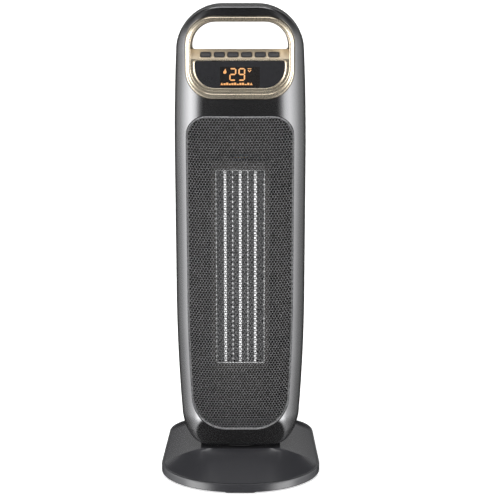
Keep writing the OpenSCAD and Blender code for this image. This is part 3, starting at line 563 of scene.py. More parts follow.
BLACK = Finish("moulded_black", (0.018, 0.018, 0.019), (0.030, 0.030, 0.032), 0.5, Grain.MOULDED, 0.12,
               1800.0, 0.12)
# Near-black heat plastic for the heat_plastic slot; it is also painted shade on the grille's hole walls and
# on parts behind the grille.
HEAT_PLASTIC_AND_SHADE = Finish("heat_plastic", (0.008, 0.008, 0.008), (0.014, 0.014, 0.014), 0.6, Grain.MOULDED,
                      0.1, 1500.0, 0.1)
RUBBER = Finish("foot_rubber", (0.012, 0.012, 0.012), (0.025, 0.025, 0.025), 0.8, Grain.SINTERED, 0.1,
                1200.0, 0.2)
NYLON = Finish("nylon", (0.78, 0.76, 0.70), (0.86, 0.85, 0.80), 0.45, Grain.MOULDED, 0.1, 900.0, 0.06)
# Darkened steel. On the heater brackets and terminals inside the housing it is painted shade.
DARKENED_STEEL = Finish("darkened_steel", (0.012, 0.012, 0.012), (0.022, 0.022, 0.023), 0.55, Grain.BRUSHED,
                   0.1, 1500.0, 0.05)
STEEL = Finish("plated_steel", (0.48, 0.48, 0.50), (0.62, 0.62, 0.63), 0.3, Grain.BRUSHED, 0.2, 1500.0,
               0.08, metallic=1.0)
MOTOR = Finish("motor_steel", (0.36, 0.37, 0.39), (0.48, 0.49, 0.51), 0.4, Grain.BRUSHED, 0.2, 900.0, 0.1,
               metallic=0.9)
ZINC = Finish("galvanised_sheet", (0.42, 0.43, 0.45), (0.58, 0.59, 0.61), 0.42, Grain.SPANGLE, 0.2, 160.0,
              0.06, metallic=0.85)
# Dark copy of the aluminium: painted shade for the fins deep inside the heating block, not a darker metal.
FIN = Finish("fin_aluminium_in_shade", (0.20, 0.20, 0.205), (0.34, 0.34, 0.35), 0.4, Grain.BRUSHED, 0.15, 1400.0,
             0.08, metallic=0.8)
ALUMINIUM = Finish("bright_aluminium", (0.90, 0.91, 0.92), (0.97, 0.97, 0.98), 0.36, Grain.BRUSHED, 0.15,
                   1400.0, 0.08, metallic=0.15)
BRASS = Finish("brass", (0.66, 0.48, 0.20), (0.76, 0.58, 0.28), 0.35, Grain.BRUSHED, 0.15, 1600.0, 0.08,
               metallic=1.0)
CERAMIC = Finish("heating_ceramic", (0.16, 0.155, 0.15), (0.26, 0.25, 0.24), 0.75, Grain.SINTERED, 0.1,
                 1600.0, 0.25)
STEATITE = Finish("white_ceramic", (0.78, 0.77, 0.72), (0.88, 0.87, 0.83), 0.4, Grain.SINTERED, 0.1,
                  900.0, 0.1)
BOARD = Finish("circuit_board", (0.015, 0.11, 0.05), (0.03, 0.17, 0.08), 0.35, Grain.MOULDED, 0.1, 260.0,
               0.05, coat=0.3)
RELAY = Finish("relay_blue", (0.03, 0.10, 0.34), (0.05, 0.14, 0.42), 0.4, Grain.MOULDED, 0.1, 900.0, 0.05)
SLEEVE = Finish("capacitor_sleeve", (0.02, 0.03, 0.11), (0.04, 0.05, 0.15), 0.3, Grain.MOULDED, 0.08,
                600.0, 0.03, coat=0.4)
ROCKER = Finish("rocker_red", (0.34, 0.018, 0.014), (0.44, 0.03, 0.02), 0.28, Grain.MOULDED, 0.08, 900.0,
                0.03, coat=0.4)

SLOT_FINISHES = {
    "base_gloss": BASE_GLOSS, "black_plastic": BLACK, "rubber": RUBBER, "steel": STEEL, "nylon": NYLON,
    "motor_steel": MOTOR, "body_gloss": BODY, "body_satin": BODY_REAR, "gold_trim": GOLD,
    "dark_window": WINDOW,
    "lit_segments": AMBER, "circuit_board": BOARD, "key_black": KEY, "grille_black": MESH,
    "heat_plastic": HEAT_PLASTIC_AND_SHADE, "aluminium": ALUMINIUM, "ceramic": CERAMIC, "ceramic_white": STEATITE,
    "brass": BRASS, "galvanised": ZINC, "relay_blue": RELAY, "capacitor_sleeve": SLEEVE, "rocker_red": ROCKER,
}

# Darker finishes in place of the slot's own. On the heater brackets, terminals, thermal cutout and fuse
# behind the grille they are painted shade inside the housing.
DARK_NODES = {
    "thrust_washer": BLACK, "heater_brackets": DARKENED_STEEL, "heater_terminals": DARKENED_STEEL,
    "housing_screws": DARKENED_STEEL, "thermal_cutout": HEAT_PLASTIC_AND_SHADE, "thermal_fuse": HEAT_PLASTIC_AND_SHADE,
}


def settle(piece: bpy.types.Object, body: str, slot: str, *nodes: str) -> bpy.types.Object:
    """Put a finished piece on its body.

    Args:
        piece: The piece.
        body: The body it rides on.
        slot: The record's material slot of the piece; not used.
        nodes: The mechanical nodes that it stands for.

    Returns:
        The piece.
    """
    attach(piece, body)
    if nodes:
        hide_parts(*nodes)
    LOG.info("%s rides on %s, %d faces", piece.name, body, len(piece.data.polygons))
    return piece


# ---------------------------------------------------------------- tower housings


class Side(Enum):
    """Which half of the tower a shell is."""

    FRONT = -1
    REAR = 1


@dataclass(frozen=True)
class TowerForm:
    """The tower's outer form: an upright outline, bowed faces and rolled edges."""

    half_w: float
    bottom: float
    top: float
    front: float
    rear: float
    seam: float
    waist_low: float = 0.230
    waist_high: float = 0.400
    low_taper: float = 2.184
    high_taper: float = 2.700
    top_corner: float = 0.056
    bottom_corner: float = 0.036
    front_roll: float = 0.036
    rear_roll: float = 0.042
    front_end_roll: float = 0.0042
    rear_end_roll: float = 0.012
    bow: float = 0.5
    handle_back: float = 0.006
    slope_low: float = 0.452
    slope_high: float = 0.520

    def side(self, z: Array) -> Array:
        """Measure the tower's half width.

        Args:
            z: Heights.

        Returns:
            The half width at each.
        """
        low = np.maximum(self.waist_low - z, 0)
        high = np.maximum(z - self.waist_high, 0)
        return self.half_w - low**2 / (2 * self.low_taper) - high**2 / (2 * self.high_taper)

    def outline(self, inset: float = 0.0, bottom: float | None = None, top: float | None = None,
                low: float | None = None, high: float | None = None, spans: int = 60) -> Loop:
        """Make the outline seen from the front, or that of an opening which follows it.

        Args:
            inset: Distance in from the tower's sides.
            bottom: Bottom of the outline, the tower's own if None.
            top: Top of the outline, the tower's own if None.
            low: Radius of the bottom corners.
            high: Radius of the top corners.
            spans: Spans up each side.

        Returns:
            The outline, counter-clockwise from its lowest middle.
        """
        bottom = self.bottom if bottom is None else bottom
        top = self.top if top is None else top
        low = self.bottom_corner if low is None else low
        high = self.top_corner if high is None else high
        z_low, z_high = bottom + low, top - high
        x_low, x_high = (float(self.side(z)) - inset for z in (z_low, z_high))
        turn = np.linspace(-90, 0, 15)
        flat = np.linspace(0, x_low - low, 10)[1:-1]
        rise = np.linspace(z_low, z_high, spans)[1:-1]
        flat_high = np.linspace(x_high - high, 0, 10)[1:-1]
        arcs = [np.radians(turn), np.radians(turn + 90)]
        right = np.vstack([
            np.column_stack([flat, np.full_like(flat, bottom)]),
            np.column_stack([x_low - low + low * np.cos(arcs[0]), z_low + low * np.sin(arcs[0])]),
            np.column_stack([self.side(rise) - inset, rise]),
            np.column_stack([x_high - high + high * np.cos(arcs[1]), z_high + high * np.sin(arcs[1])]),
            np.column_stack([flat_high, np.full_like(flat_high, top)]),
        ])
        left = right[::-1] * np.array([-1, 1])
        points = np.vstack([[[0, bottom]], right, [[0, top]], left])
        along = np.roll(points, -1, axis=0) - np.roll(points, 1, axis=0)
        normals = np.column_stack([along[:, 1], -along[:, 0]])
        return Loop(points, normals / np.linalg.norm(normals, axis=1)[:, None])

    def edge(self, x: Array, z: Array) -> tuple[Array, Array, Array]:
        """Measure how far places are from the outline.

        Args:
            x: Places along X.
            z: Places along Z.

        Returns:
            The distance in from the outline, and the X and Z parts of the way out.
        """
        ax = np.abs(x)
        z_high, z_low = self.top - self.top_corner, self.bottom + self.bottom_corner
        x_high = float(self.side(z_high)) - self.top_corner
        x_low = float(self.side(z_low)) - self.bottom_corner
        inset = self.side(z) - ax
        nx, nz = np.ones_like(ax), np.zeros_like(ax)
        for z_mid, x_mid, end, radius, way in (
            (z_high, x_high, self.top, self.top_corner, 1),
            (z_low, x_low, self.bottom, self.bottom_corner, -1),
        ):
            beyond = (z - z_mid) * way > 0
            corner = beyond & (ax > x_mid)
            band = beyond & ~corner
            dx, dz = ax - x_mid, z - z_mid
            reach = np.maximum(np.hypot(dx, dz), 1e-9)
            inset = np.where(corner, radius - reach, np.where(band, (end - z) * way, inset))
            nx = np.where(corner, dx / reach, np.where(band, 0.0, nx))
            nz = np.where(corner, dz / reach, np.where(band, float(way), nz))
        return inset, nx * np.sign(np.where(x == 0, 1, x)), nz

    def back(self, z: Array) -> tuple[Array, Array]:
        """Measure the back, which steps in behind the hand opening.

        Args:
            z: Heights.

        Returns:
            The depth of the back at each, and how fast it changes there.
        """
        span = self.slope_high - self.slope_low
        t = np.clip((z - self.slope_low) / span, 0, 1)
        fall = self.rear - self.handle_back
        return self.rear - fall * t * t * (3 - 2 * t), -fall * 6 * t * (1 - t) / span

    def roll(self, side: Side, nx: Array, z: Array) -> Array:
        """Measure the rolled edge between a face and the sides.

        Args:
            side: Which face.
            nx: The X part of the outline's normal.
            z: Heights.

        Returns:
            The edge's radius at each place.
        """
        if side is Side.FRONT:
            return self.front_end_roll + (self.front_roll - self.front_end_roll) * np.abs(nx) ** 3
        radius = self.rear_end_roll + (self.rear_roll - self.rear_end_roll) * nx**2
        return np.minimum(radius, 0.85 * (self.back(z)[0] - self.seam))

    def lift(self, side: Side, x: Array, z: Array) -> tuple[Array, Array]:
        """Put places in the outline's plane on the tower's face.

        Args:
            side: Which face.
            x: Places along X.
            z: Places along Z.

        Returns:
            The places in space, and the normals there.
        """
        inset, nx, nz = self.edge(x, z)
        radius = self.roll(side, nx, z)
        lean = np.clip((radius - inset) / radius, 0, 1)
        level = np.sqrt(np.maximum(1 - lean**2, 0))
        face, slope, flat = np.full_like(z, self.front), np.zeros_like(z), np.ones_like(z)
        if side is Side.REAR:
            face, slope = self.back(z)
            flat = (face - self.seam) / (self.rear - self.seam)
        drop = radius * (1 - level) + flat * x**2 / (2 * self.bow)
        points = np.column_stack([x, face - side.value * drop, z])
        normals = np.column_stack([
            nx * lean + level * flat * x / self.bow, side.value * level, nz * lean - level * slope,
        ])
        return points, normals / np.linalg.norm(normals, axis=1)[:, None]


@dataclass
class Housings:
    """The two housings of the tower."""

    form: TowerForm
    hole_edge: float = 0.0012
    seam_round: float = 0.0006
    screw_x: float = 0.056
    screw_heights: tuple[float, ...] = (0.100, 0.270, 0.425)
    screw_half: float = 0.0038
    panel_half: float = 0.048
    slat_pitch: float = 0.008
    slat_sink: float = 0.0022
    rib_x: float = 0.026
    rib_half: float = 0.0012
    net_step: float = 0.005

    def _inner_points(self, side: Side) -> Array:
        """Spread places that carry a face's curvature: rings along its rolled edge and a net inside.

        Args:
            side: Which face.

        Returns:
            The places, in the outline's plane.
        """
        loop = self.form.outline()
        radius = self.form.roll(side, loop.normals[:, 0], loop.points[:, 1])
        rings = []
        for angle in np.radians(np.linspace(6, 90, 12)):
            depth = radius * (1 - math.cos(angle))
            rings.append(loop.points - loop.normals * depth[:, None])
        half = 9 * self.net_step
        across = np.arange(-half, half + 0.0001, self.net_step)
        up = np.arange(self.form.bottom + 0.008, self.form.top - 0.005, self.net_step)
        xs, zs = np.meshgrid(across, up)
        net = np.column_stack([xs.ravel(), zs.ravel()])
        inset, nx, _ = self.form.edge(*net.T)
        net = net[inset > self.form.roll(side, nx, net[:, 1]) + 0.003]
        return np.vstack([*rings, net])

    def _shell(self, side: Side, holes: Sequence[tuple[Loop, float]]) -> Draft:
        """Draft one housing.

        Args:
            side: Which half of the tower it is.
            holes: Outlines of its openings, and how deep each one's wall goes.

        Returns:
            The draft.
        """
        draft = Draft()
        form = self.form
        outline = form.outline()
        rims = [hole.grown(self.hole_edge) for hole, _ in holes]
        inner = self._inner_points(side)
        sheet(draft, outline, rims, inner, lambda x, z: form.lift(side, x, z), side.value)
        way = -side.value
        flip = side is Side.REAR
        for rim, (_, depth) in zip(rims, holes):
            base = form.lift(side, *rim.points.T)[0][:, 1]
            turned = [(-out, way * down) for out, down in quarter(self.hole_edge)]
            draft.sweep(rim, turned, base, flip=not flip)
            wall = [turned[-1], (turned[-1][0], way * (self.hole_edge + depth))]
            draft.sweep(rim, wall, base, flip=not flip)
        start = form.lift(side, *outline.points.T)[0][:, 1]
        seam = np.full(len(start), form.seam - way * 0.0001)
        end = seam - way * self.seam_round
        rows = [outline.at(start + (end - start) * share) for share in np.linspace(0, 1, 9)]
        draft.grid(rows, closed=True, flip=not flip)
        bend = [(-down, way * out) for out, down in quarter(self.seam_round)]
        draft.sweep(outline, bend, end, flip=not flip)
        LOG.info("the %s housing has %d openings", side.name.lower(), len(holes))
        return draft

    def build_front(self, ring: Loop, grille: Loop) -> None:
        """Build the front housing round the gold ring and the grille."""
        draft = self._shell(Side.FRONT, [(ring, 0.010), (grille, 0.004)])
        settle(draft.build("front_shell", [BODY.material()]), "tower", "body_gloss", "front_housing")

    def build_rear(self, lip: Loop, switch: Loop) -> None:
        """Build the rear housing with its louvred intake.

        Args:
            lip: Outline of the hand opening's lip.
            switch: Outline of the rocker switch.
        """
        low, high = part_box("intake_filter")
        panel = rounded(0.0, self.panel_half, low[2] - 0.004, high[2] + 0.006, 0.010, 0.010)
        half = self.screw_half
        screws = [rounded(x, half, z - half, z + half, half - 0.0001, half - 0.0001, 6)
                  for x in (-self.screw_x, self.screw_x) for z in self.screw_heights]
        holes = [(lip, 0.004), (panel, 0.002), (switch, 0.004), *((s, 0.004) for s in screws)]
        draft = self._shell(Side.REAR, holes)
        self._slats(draft, low[2], high[2])
        settle(draft.build("rear_shell", [BODY_REAR.material()]), "tower", "body_satin", "rear_housing")

    def _on_back(self, x: Array, z: Array, depth: float) -> Array:
        """Return places at a depth from the back's face."""
        return self.form.lift(Side.REAR, x, z)[0] + np.array([0.0, depth, 0.0])

    def _slats(self, draft: Draft, z0: float, z1: float) -> None:
        """Add the intake's slanted slats and its three upright ribs.

        Args:
            draft: The draft they go to.
            z0: Bottom of the lowest slat.
            z1: Bottom of the highest slat, or a little above it.
        """
        reach = self.panel_half + 0.0008
        xs = np.linspace(-reach, reach, 25)
        section = [(0.0, 0.0), (0.0006, 0.0005), (0.0006, 0.0012), (-0.006, 0.0042), (-0.006, 0.0030),
                   (0.0, 0.0)]
        for i in range(int((z1 - z0) / self.slat_pitch) + 1):
            z = z0 + i * self.slat_pitch
            draft.grid([self._on_back(xs, np.full_like(xs, z + up), depth - self.slat_sink)
                        for depth, up in section])
        zs = np.linspace(z0 - 0.003, z1 + 0.005, 30)
        deep, half = -0.006, self.rib_half
        for x in (-self.rib_x, 0.0, self.rib_x):
            draft.grid([self._on_back(np.full_like(zs, x + off), zs, depth) for off, depth in (
                (-half, deep), (-half, -self.slat_sink), (half, -self.slat_sink), (half, deep))])


# ---------------------------------------------------------------- handle, controls and display


@dataclass
class Handle:
    """The gold ring and the liner of the hand opening."""

    steps: int = 12
    open_low: float = 0.534
    tilt: float = math.radians(6)
    rear_lip: float = 0.0045
    lip: float = 0.006
    rim: float = 0.0036
    floor: float = 0.0040
    crown: Stops = ((0.0, 0.0036), (0.015, 0.0022), (0.06, 0.0012), (0.14, 0.0003), (0.26, 0.0),
                    (0.40, 0.0002), (0.52, 0.0007))
    cove: Stops = ((0.52, 0.0007), (0.56, 0.0013), (0.62, 0.0017), (0.72, 0.0017), (0.84, 0.0013),
                   (0.92, 0.0015), (0.975, 0.0024), (1.0, 0.0040))

    def __post_init__(self) -> None:
        """Read the ring's sizes from the frame."""
        ring_low, ring_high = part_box("handle_ring")
        self.front, self.back = ring_low[1], ring_high[1]
        self.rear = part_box("handle_liner")[1][1]
        self.half = ring_high[0]
        self.low, self.high = ring_low[2], ring_high[2]
        self.inner_half = self.half - self.lip
        self.open_top = self.high - self.lip
        self.outer = rounded(0, self.half, self.low, self.high, 0.033, 0.033, self.steps)
        self.inner = rounded(0, self.inner_half, self.low + 0.0105, self.open_top, 0.027, 0.028, self.steps)
        self.opening = rounded(0, self.inner_half, self.open_low, self.open_top, 0.004, 0.028, self.steps)

    def passage(self, y: float) -> Loop:
        """Return the outline of the passage at depth y; it slopes down to the back."""
        fall = np.array([0.0, (y - self.back) * math.tan(self.tilt)])
        return Loop(self.opening.points - fall, self.opening.normals)

    def _between(self, share: float, y: float) -> Array:
        """Return the ring's outline a share of the way in, at depth y."""
        return Loop(self.outer.points * (1 - share) + self.inner.points * share, self.outer.normals).at(y)

    def build(self) -> None:
        """Build the ring and the liner."""
        draft = Draft()
        crest = self.front - 0.0006
        draft.grid([self._between(0, self.back), self._between(0, crest + self.rim)], closed=True)
        for profile in (self.crown, self.cove):
            draft.grid([self._between(share, crest + depth) for share, depth in profile], closed=True)
        draft.grid([self._between(1.0, crest + self.floor), self._between(1.0, self.back)], closed=True)
        settle(draft.build("gold_ring", [GOLD.material()]), "tower", "gold_trim", "handle_ring")
        liner = Draft()
        depths = np.linspace(self.back + 0.0002, self.rear - 0.0016, 16)
        liner.grid([self.passage(y).at(y) for y in depths], closed=True)
        lip = self.rear_lip
        edge = [(0.0, -0.0016), (0.0002, -0.0008), (0.0008, -0.0002), (0.0016, 0.0), (lip - 0.0012, 0.0),
                (lip - 0.0004, -0.0003), (lip, -0.0010), (lip, -0.0060)]
        liner.sweep(self.passage(self.rear), edge, self.rear)
        made = liner.build("handle_liner_skin", [GOLD_SATIN.material()])
        settle(made, "tower", "gold_trim", "handle_liner")


@dataclass
class Strip:
    """The sloped strip that carries the push buttons, in its own frame: U along X, V up the slope, W out."""

    tilt: float = math.radians(44)
    centre: tuple[float, float, float] = (0.0, -0.0492, 0.529)
    length: float = 0.0144
    pitch: float = 0.016
    key_w: float = 0.0122
    key_d: float = 0.0072
    key_v: float = -0.001
    count: int = 6
    crest: float = 0.0010
    foot: float = 0.0006
    tail: float = 0.0012

    def place(self, points: Array) -> Array:
        """Put places of the strip's frame in space; a drafted outline's depth is its way in.

        Args:
            points: Places in the strip's frame.

        Returns:
            The places in space.
        """
        u, w, v = points[:, 0], -points[:, 1], points[:, 2]
        cos, sin = math.cos(self.tilt), math.sin(self.tilt)
        return np.array(self.centre) + np.column_stack([u, v * cos - w * sin, v * sin + w * cos])

    def key_x(self, index: int) -> float:
        """Return where a button is along the strip, counted from 1."""
        return (index - (self.count + 1) / 2) * self.pitch

    def key_loop(self, index: int, grow: float = 0.0) -> Loop:
        """Return a button's outline in the strip's frame."""
        x, half, v = self.key_x(index), self.key_w / 2, self.key_v
        return rounded(x, half, v - self.key_d / 2, v + self.key_d / 2, 0.0014, 0.0014, 6).grown(grow)


@dataclass
class Controls:
    """The gold bezel, the push buttons and the lit display."""

    handle: Handle
    strip: Strip
    figure_w: float = 0.0065
    figure_h: float = 0.0150
    stroke: float = 0.0016
    lean: float = 0.03
    gap: float = 0.0002
    figures_x: tuple[float, float] = (-0.0117, -0.0012)
    figures_z: float = 0.4982
    row_z: float = 0.4932
    row_x: float = -0.0192
    row_pitch: float = 0.0031
    row_count: int = 10

    def __post_init__(self) -> None:
        """Read the window's place from the frame."""
        low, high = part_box("display_window")
        self.face = low[1]
        self.window = rounded(0, high[0], low[2], high[2], 0.024, 0.003, 12)
        self.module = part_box("display_module")

    def build(self) -> None:
        """Build every piece of the control panel."""
        self._bezel_plate()
        self._button_strip()
        self._window()
        self._segments()
        for index in range(1, self.strip.count + 1):
            self._button(index)

    def _bezel_plate(self) -> None:
        """Build the plate round the window with its thin raised frame."""
        draft = Draft()
        face = self.face - 0.0001
        ring = self.handle.inner
        floor = self.strip.centre[2] - 0.0056
        half = self.handle.inner_half - 0.00005
        outline = rounded(0, half, float(ring.points[:, 1].min()), floor, 0.027, 0.0008, 12)
        hole = self.window.grown(0.0018)
        plate(draft, outline, [hole], face, -1.0)
        bead = [(0.0, 0.0), (-0.0001, -0.0004), (-0.0005, -0.0008), (-0.0010, -0.0009), (-0.0014, -0.0007),
                (-0.0017, -0.0002), (-0.0018, 0.0012)]
        draft.sweep(hole, bead, face, flip=True)
        settle(draft.build("bezel_plate", [GOLD.material()]), "tower", "gold_trim", "control_bezel")

    def _button_strip(self) -> None:
        """Build the sloped strip with a raised frame round each button."""
        draft = Draft()
        half, reach = self.handle.inner_half - 0.00005, self.strip.length / 2
        outline = rounded(0, half, -reach, reach, 0.0002, 0.0002, 3)
        holes = [self.strip.key_loop(i, 0.0013) for i in range(1, self.strip.count + 1)]
        plate(draft, outline, holes, 0.0, -1.0)
        bead = [(0.0, 0.0), (-0.0001, -0.0003), (-0.0004, -0.0005), (-0.0007, -0.0004), (-0.0009, 0.0),
                (-0.00095, 0.0022)]
        for hole in holes:
            draft.sweep(hole, bead, 0.0, flip=True)
        xs = np.array([-half, half])
        tilt, tail = self.strip.tilt, self.strip.tail
        ends = ((1, tilt, self.strip.crest, 7), (-1, math.pi / 2 - tilt, self.strip.foot, 6))
        for way, turn, radius, count in ends:
            bend = [(reach + radius * math.sin(a), radius * (1 - math.cos(a)))
                    for a in np.linspace(0, turn, count)]
            end_v, end_in = bend[-1]
            bend.append((end_v + tail * math.cos(turn), end_in + tail * math.sin(turn)))
            rows = [np.column_stack([xs, [inwards] * 2, [way * v] * 2]) for v, inwards in bend]
            draft.grid(rows, flip=way < 0)
        settle(draft.build("button_strip", [GOLD_SATIN.material()], self.strip.place), "tower", "gold_trim")

    def _button(self, index: int) -> None:
        """Build one button with a crowned top.

        Args:
            index: Which button, counted from 1 at the left.
        """
        draft = Draft()
        loop = self.strip.key_loop(index)
        top, crown, edge = -0.0010, 0.00025, 0.0007
        inner = loop.grown(-edge)
        centre = np.array([self.strip.key_x(index), self.strip.key_v])
        rows = []
        for share in (0.02, 0.3, 0.6, 0.85, 1.0):
            flat = centre + (inner.points - centre) * share
            rows.append(Loop(flat, inner.normals).at(top - crown * (1 - share**2)))
        rows += [inner.grown(out).at(top + down) for out, down in quarter(edge)[1:]]
        rows.append(loop.at(0.0025))
        draft.grid(rows, closed=True, flip=True)
        draft.cap(rows[0])
        name = f"button_{index}"
        settle(draft.build(f"{name}_cap", [KEY.material()], self.strip.place), name, "key_black", name)

    def _window(self) -> None:
        """Build the smoked window and the darker tile of the display."""
        draft = Draft()
        slab(draft, self.window, self.face, self.face + 0.002, 0.0004)
        low, high = self.module
        tile = rounded(0, high[0], low[2] - 0.0001, high[2] + 0.0002, 0.0006, 0.0006, 4)
        slab(draft, tile, self.face - 0.00006, self.face + 0.0001, 0.00005, 1)
        made = draft.build("display_pane", [WINDOW.material(), LED_TILE.material()])
        settle(made, "tower", "dark_window", "display_window")

    def _mark(self, draft: Draft, corners: Sequence[tuple[float, float]]) -> None:
        """Add one lit mark with straight edges.

        Args:
            draft: The draft it goes to.
            corners: Its corners, counter-clockwise.
        """
        front = self.face - 0.0003
        flat = np.array(corners)
        ring = np.column_stack([flat[:, 0], np.full(len(flat), front), flat[:, 1]])
        back = ring + np.array([0, 0.0003, 0])
        draft.cap(ring)
        draft.grid([ring, back], closed=True, flip=True)

    def _figure(self, draft: Draft, x: float, z: float, lit: str) -> None:
        """Add one seven segment figure.

        Args:
            draft: The draft it goes to.
            x: Its left side.
            z: Its bottom.
            lit: Its lit segments, by the usual letters a to g.
        """
        w, h, t = self.figure_w, self.figure_h, self.stroke
        mid = h / 2

        def bar(x0: float, z0: float, x1: float, z1: float) -> None:
            """Add a bar with pointed ends.

            Args:
                x0: Left or lower joint of the figure, along X.
                z0: The same joint's height.
                x1: The other joint, along X.
                z1: Its height.
            """
            along = np.array([x1 - x0, z1 - z0])
            size = np.linalg.norm(along)
            way = along / size
            out = np.array([way[1], -way[0]]) * t / 2
            a = np.array([x0, z0]) + way * self.gap
            b = np.array([x1, z1]) - way * self.gap
            tip = way * t / 2
            body = [a, a + tip + out, b - tip + out, b, b - tip - out, a + tip - out]
            self._mark(draft, [(x + p[0] + self.lean * p[1], z + p[1]) for p in body])

        places = {
            "a": (0, h - t / 2, w, h - t / 2), "b": (w, mid, w, h - t / 2), "c": (w, t / 2, w, mid),
            "d": (0, t / 2, w, t / 2), "e": (0, t / 2, 0, mid), "f": (0, mid, 0, h - t / 2),
            "g": (0, mid, w, mid),
        }
        for letter in lit:
            bar(*places[letter])

    def _segments(self) -> None:
        """Build the lit figures, the flame, the degree sign and the row of bars."""
        draft = Draft()
        for x, lit in zip(self.figures_x, ("abged", "abcdfg")):
            self._figure(draft, x, self.figures_z, lit)
        flame = [(0.0, 0.0), (0.0018, 0.0004), (0.0026, 0.0022), (0.0016, 0.0044), (0.0018, 0.0062),
                 (0.0002, 0.0046), (-0.0004, 0.0030), (-0.0014, 0.0026), (-0.0012, 0.0008)]
        sign = [(0.0, 0.0), (0.0022, -0.0024), (0.0044, 0.0), (0.0036, 0.0006), (0.0022, -0.0010),
                (0.0008, 0.0006)]
        dash = [(0.0, 0.0), (0.0044, 0.0), (0.0044, 0.0008), (0.0, 0.0008)]
        end = [(-0.0016, 0.0), (0.0016, 0.0), (0.0, 0.0030)]
        marks = [(flame, -0.0181, 0.5064), (sign, 0.0092, 0.5105), (dash, 0.0092, 0.5120)]
        for i in range(self.row_count):
            tall = 0.0012 + 0.0016 * abs(math.sin(1.1 * i + 0.6))
            bar = [(0.0, 0.0), (0.0025, 0.0), (0.0025, tall), (0.0, tall)]
            marks.append((bar, self.row_x + i * self.row_pitch, self.row_z))
        marks += [(end, x, self.row_z) for x in (-0.0212, 0.0134)]
        for corners, x, z in marks:
            self._mark(draft, [(x + u, z + v) for u, v in corners])
        settle(draft.build("lit_figures", [AMBER.material()]), "tower", "lit_segments", "display_segments")


# ---------------------------------------------------------------- grille and heating block


@dataclass
class Grille:
    """The fine mesh of six-sided holes in front of the heating block."""

    form: TowerForm
    outline: Loop
    pitch: float = 0.0036
    row: float = 0.0030
    hole: float = 0.74
    recess: float = 0.0016
    ridge: float = 0.0008
    thick: float = 0.0012

    def _cells(self) -> Array:
        """Lay out the mesh.

        Returns:
            The middles of its holes.
        """
        low, high = self.outline.points.min(axis=0), self.outline.points.max(axis=0)
        cols = int(high[0] / self.pitch) + 2
        rows = int((high[1] - low[1]) / self.row) + 2
        c, r = np.meshgrid(np.arange(-cols, cols + 1), np.arange(rows))
        x = (c + (r % 2) / 2) * self.pitch
        middles = np.column_stack([x.ravel(), (low[1] + r * self.row).ravel()])
        return middles[self.outline.grown(-0.0008).holds(*middles.T)]

    def build(self) -> None:
        """Build the mesh: each hole has sloping lips and an inner wall, and the inner walls are painted
        near-black as shade in the holes.
        """
        middles = self._cells()
        reach_x, reach_z = self.pitch / 2, self.row * 2 / 3
        corners = np.array([[0, 1], [-1, 0.5], [-1, -0.5], [0, -1], [1, -0.5], [1, 0.5]])
        corners = corners * [reach_x, reach_z]
        layers = []
        for share, depth in ((1.0, -self.ridge), (self.hole + 0.06, 0.0), (self.hole, self.thick)):
            flat = (middles[:, None, :] + corners[None] * share).reshape(-1, 2)
            lifted = self.form.lift(Side.FRONT, *flat.T)[0]
            lifted[:, 1] += self.recess + depth
            layers.append(lifted.reshape(-1, 6, 3))
        faces = []
        for start in range(0, len(middles) * 12, 12):
            for k in range(6):
                a, b = start + k, start + (k + 1) % 6
                faces.append((a, b, b + 6, a + 6))
        draft = Draft()
        # The lips take the mesh finish. The inner walls take the near-black finish as painted shade in the
        # holes.
        for ring in range(2):
            draft.patch(np.stack(layers[ring:ring + 2], axis=1).reshape(-1, 3), faces, finish=ring)
        border = self.outline.grown(0.0002)
        base = self.form.lift(Side.FRONT, *border.points.T)[0][:, 1] + self.recess
        frame_edge = [(0.0, -0.0007), (-0.0014, -0.0007), (-0.0020, -0.0003), (-0.0020, 0.0012)]
        draft.sweep(border, frame_edge, base, flip=True)
        piece = draft.build("grille_mesh", [MESH.material(), HEAT_PLASTIC_AND_SHADE.material()])
        for polygon in piece.data.polygons[: 2 * len(faces)]:
            polygon.use_smooth = False
        settle(piece, "tower", "grille_black", "front_grille")


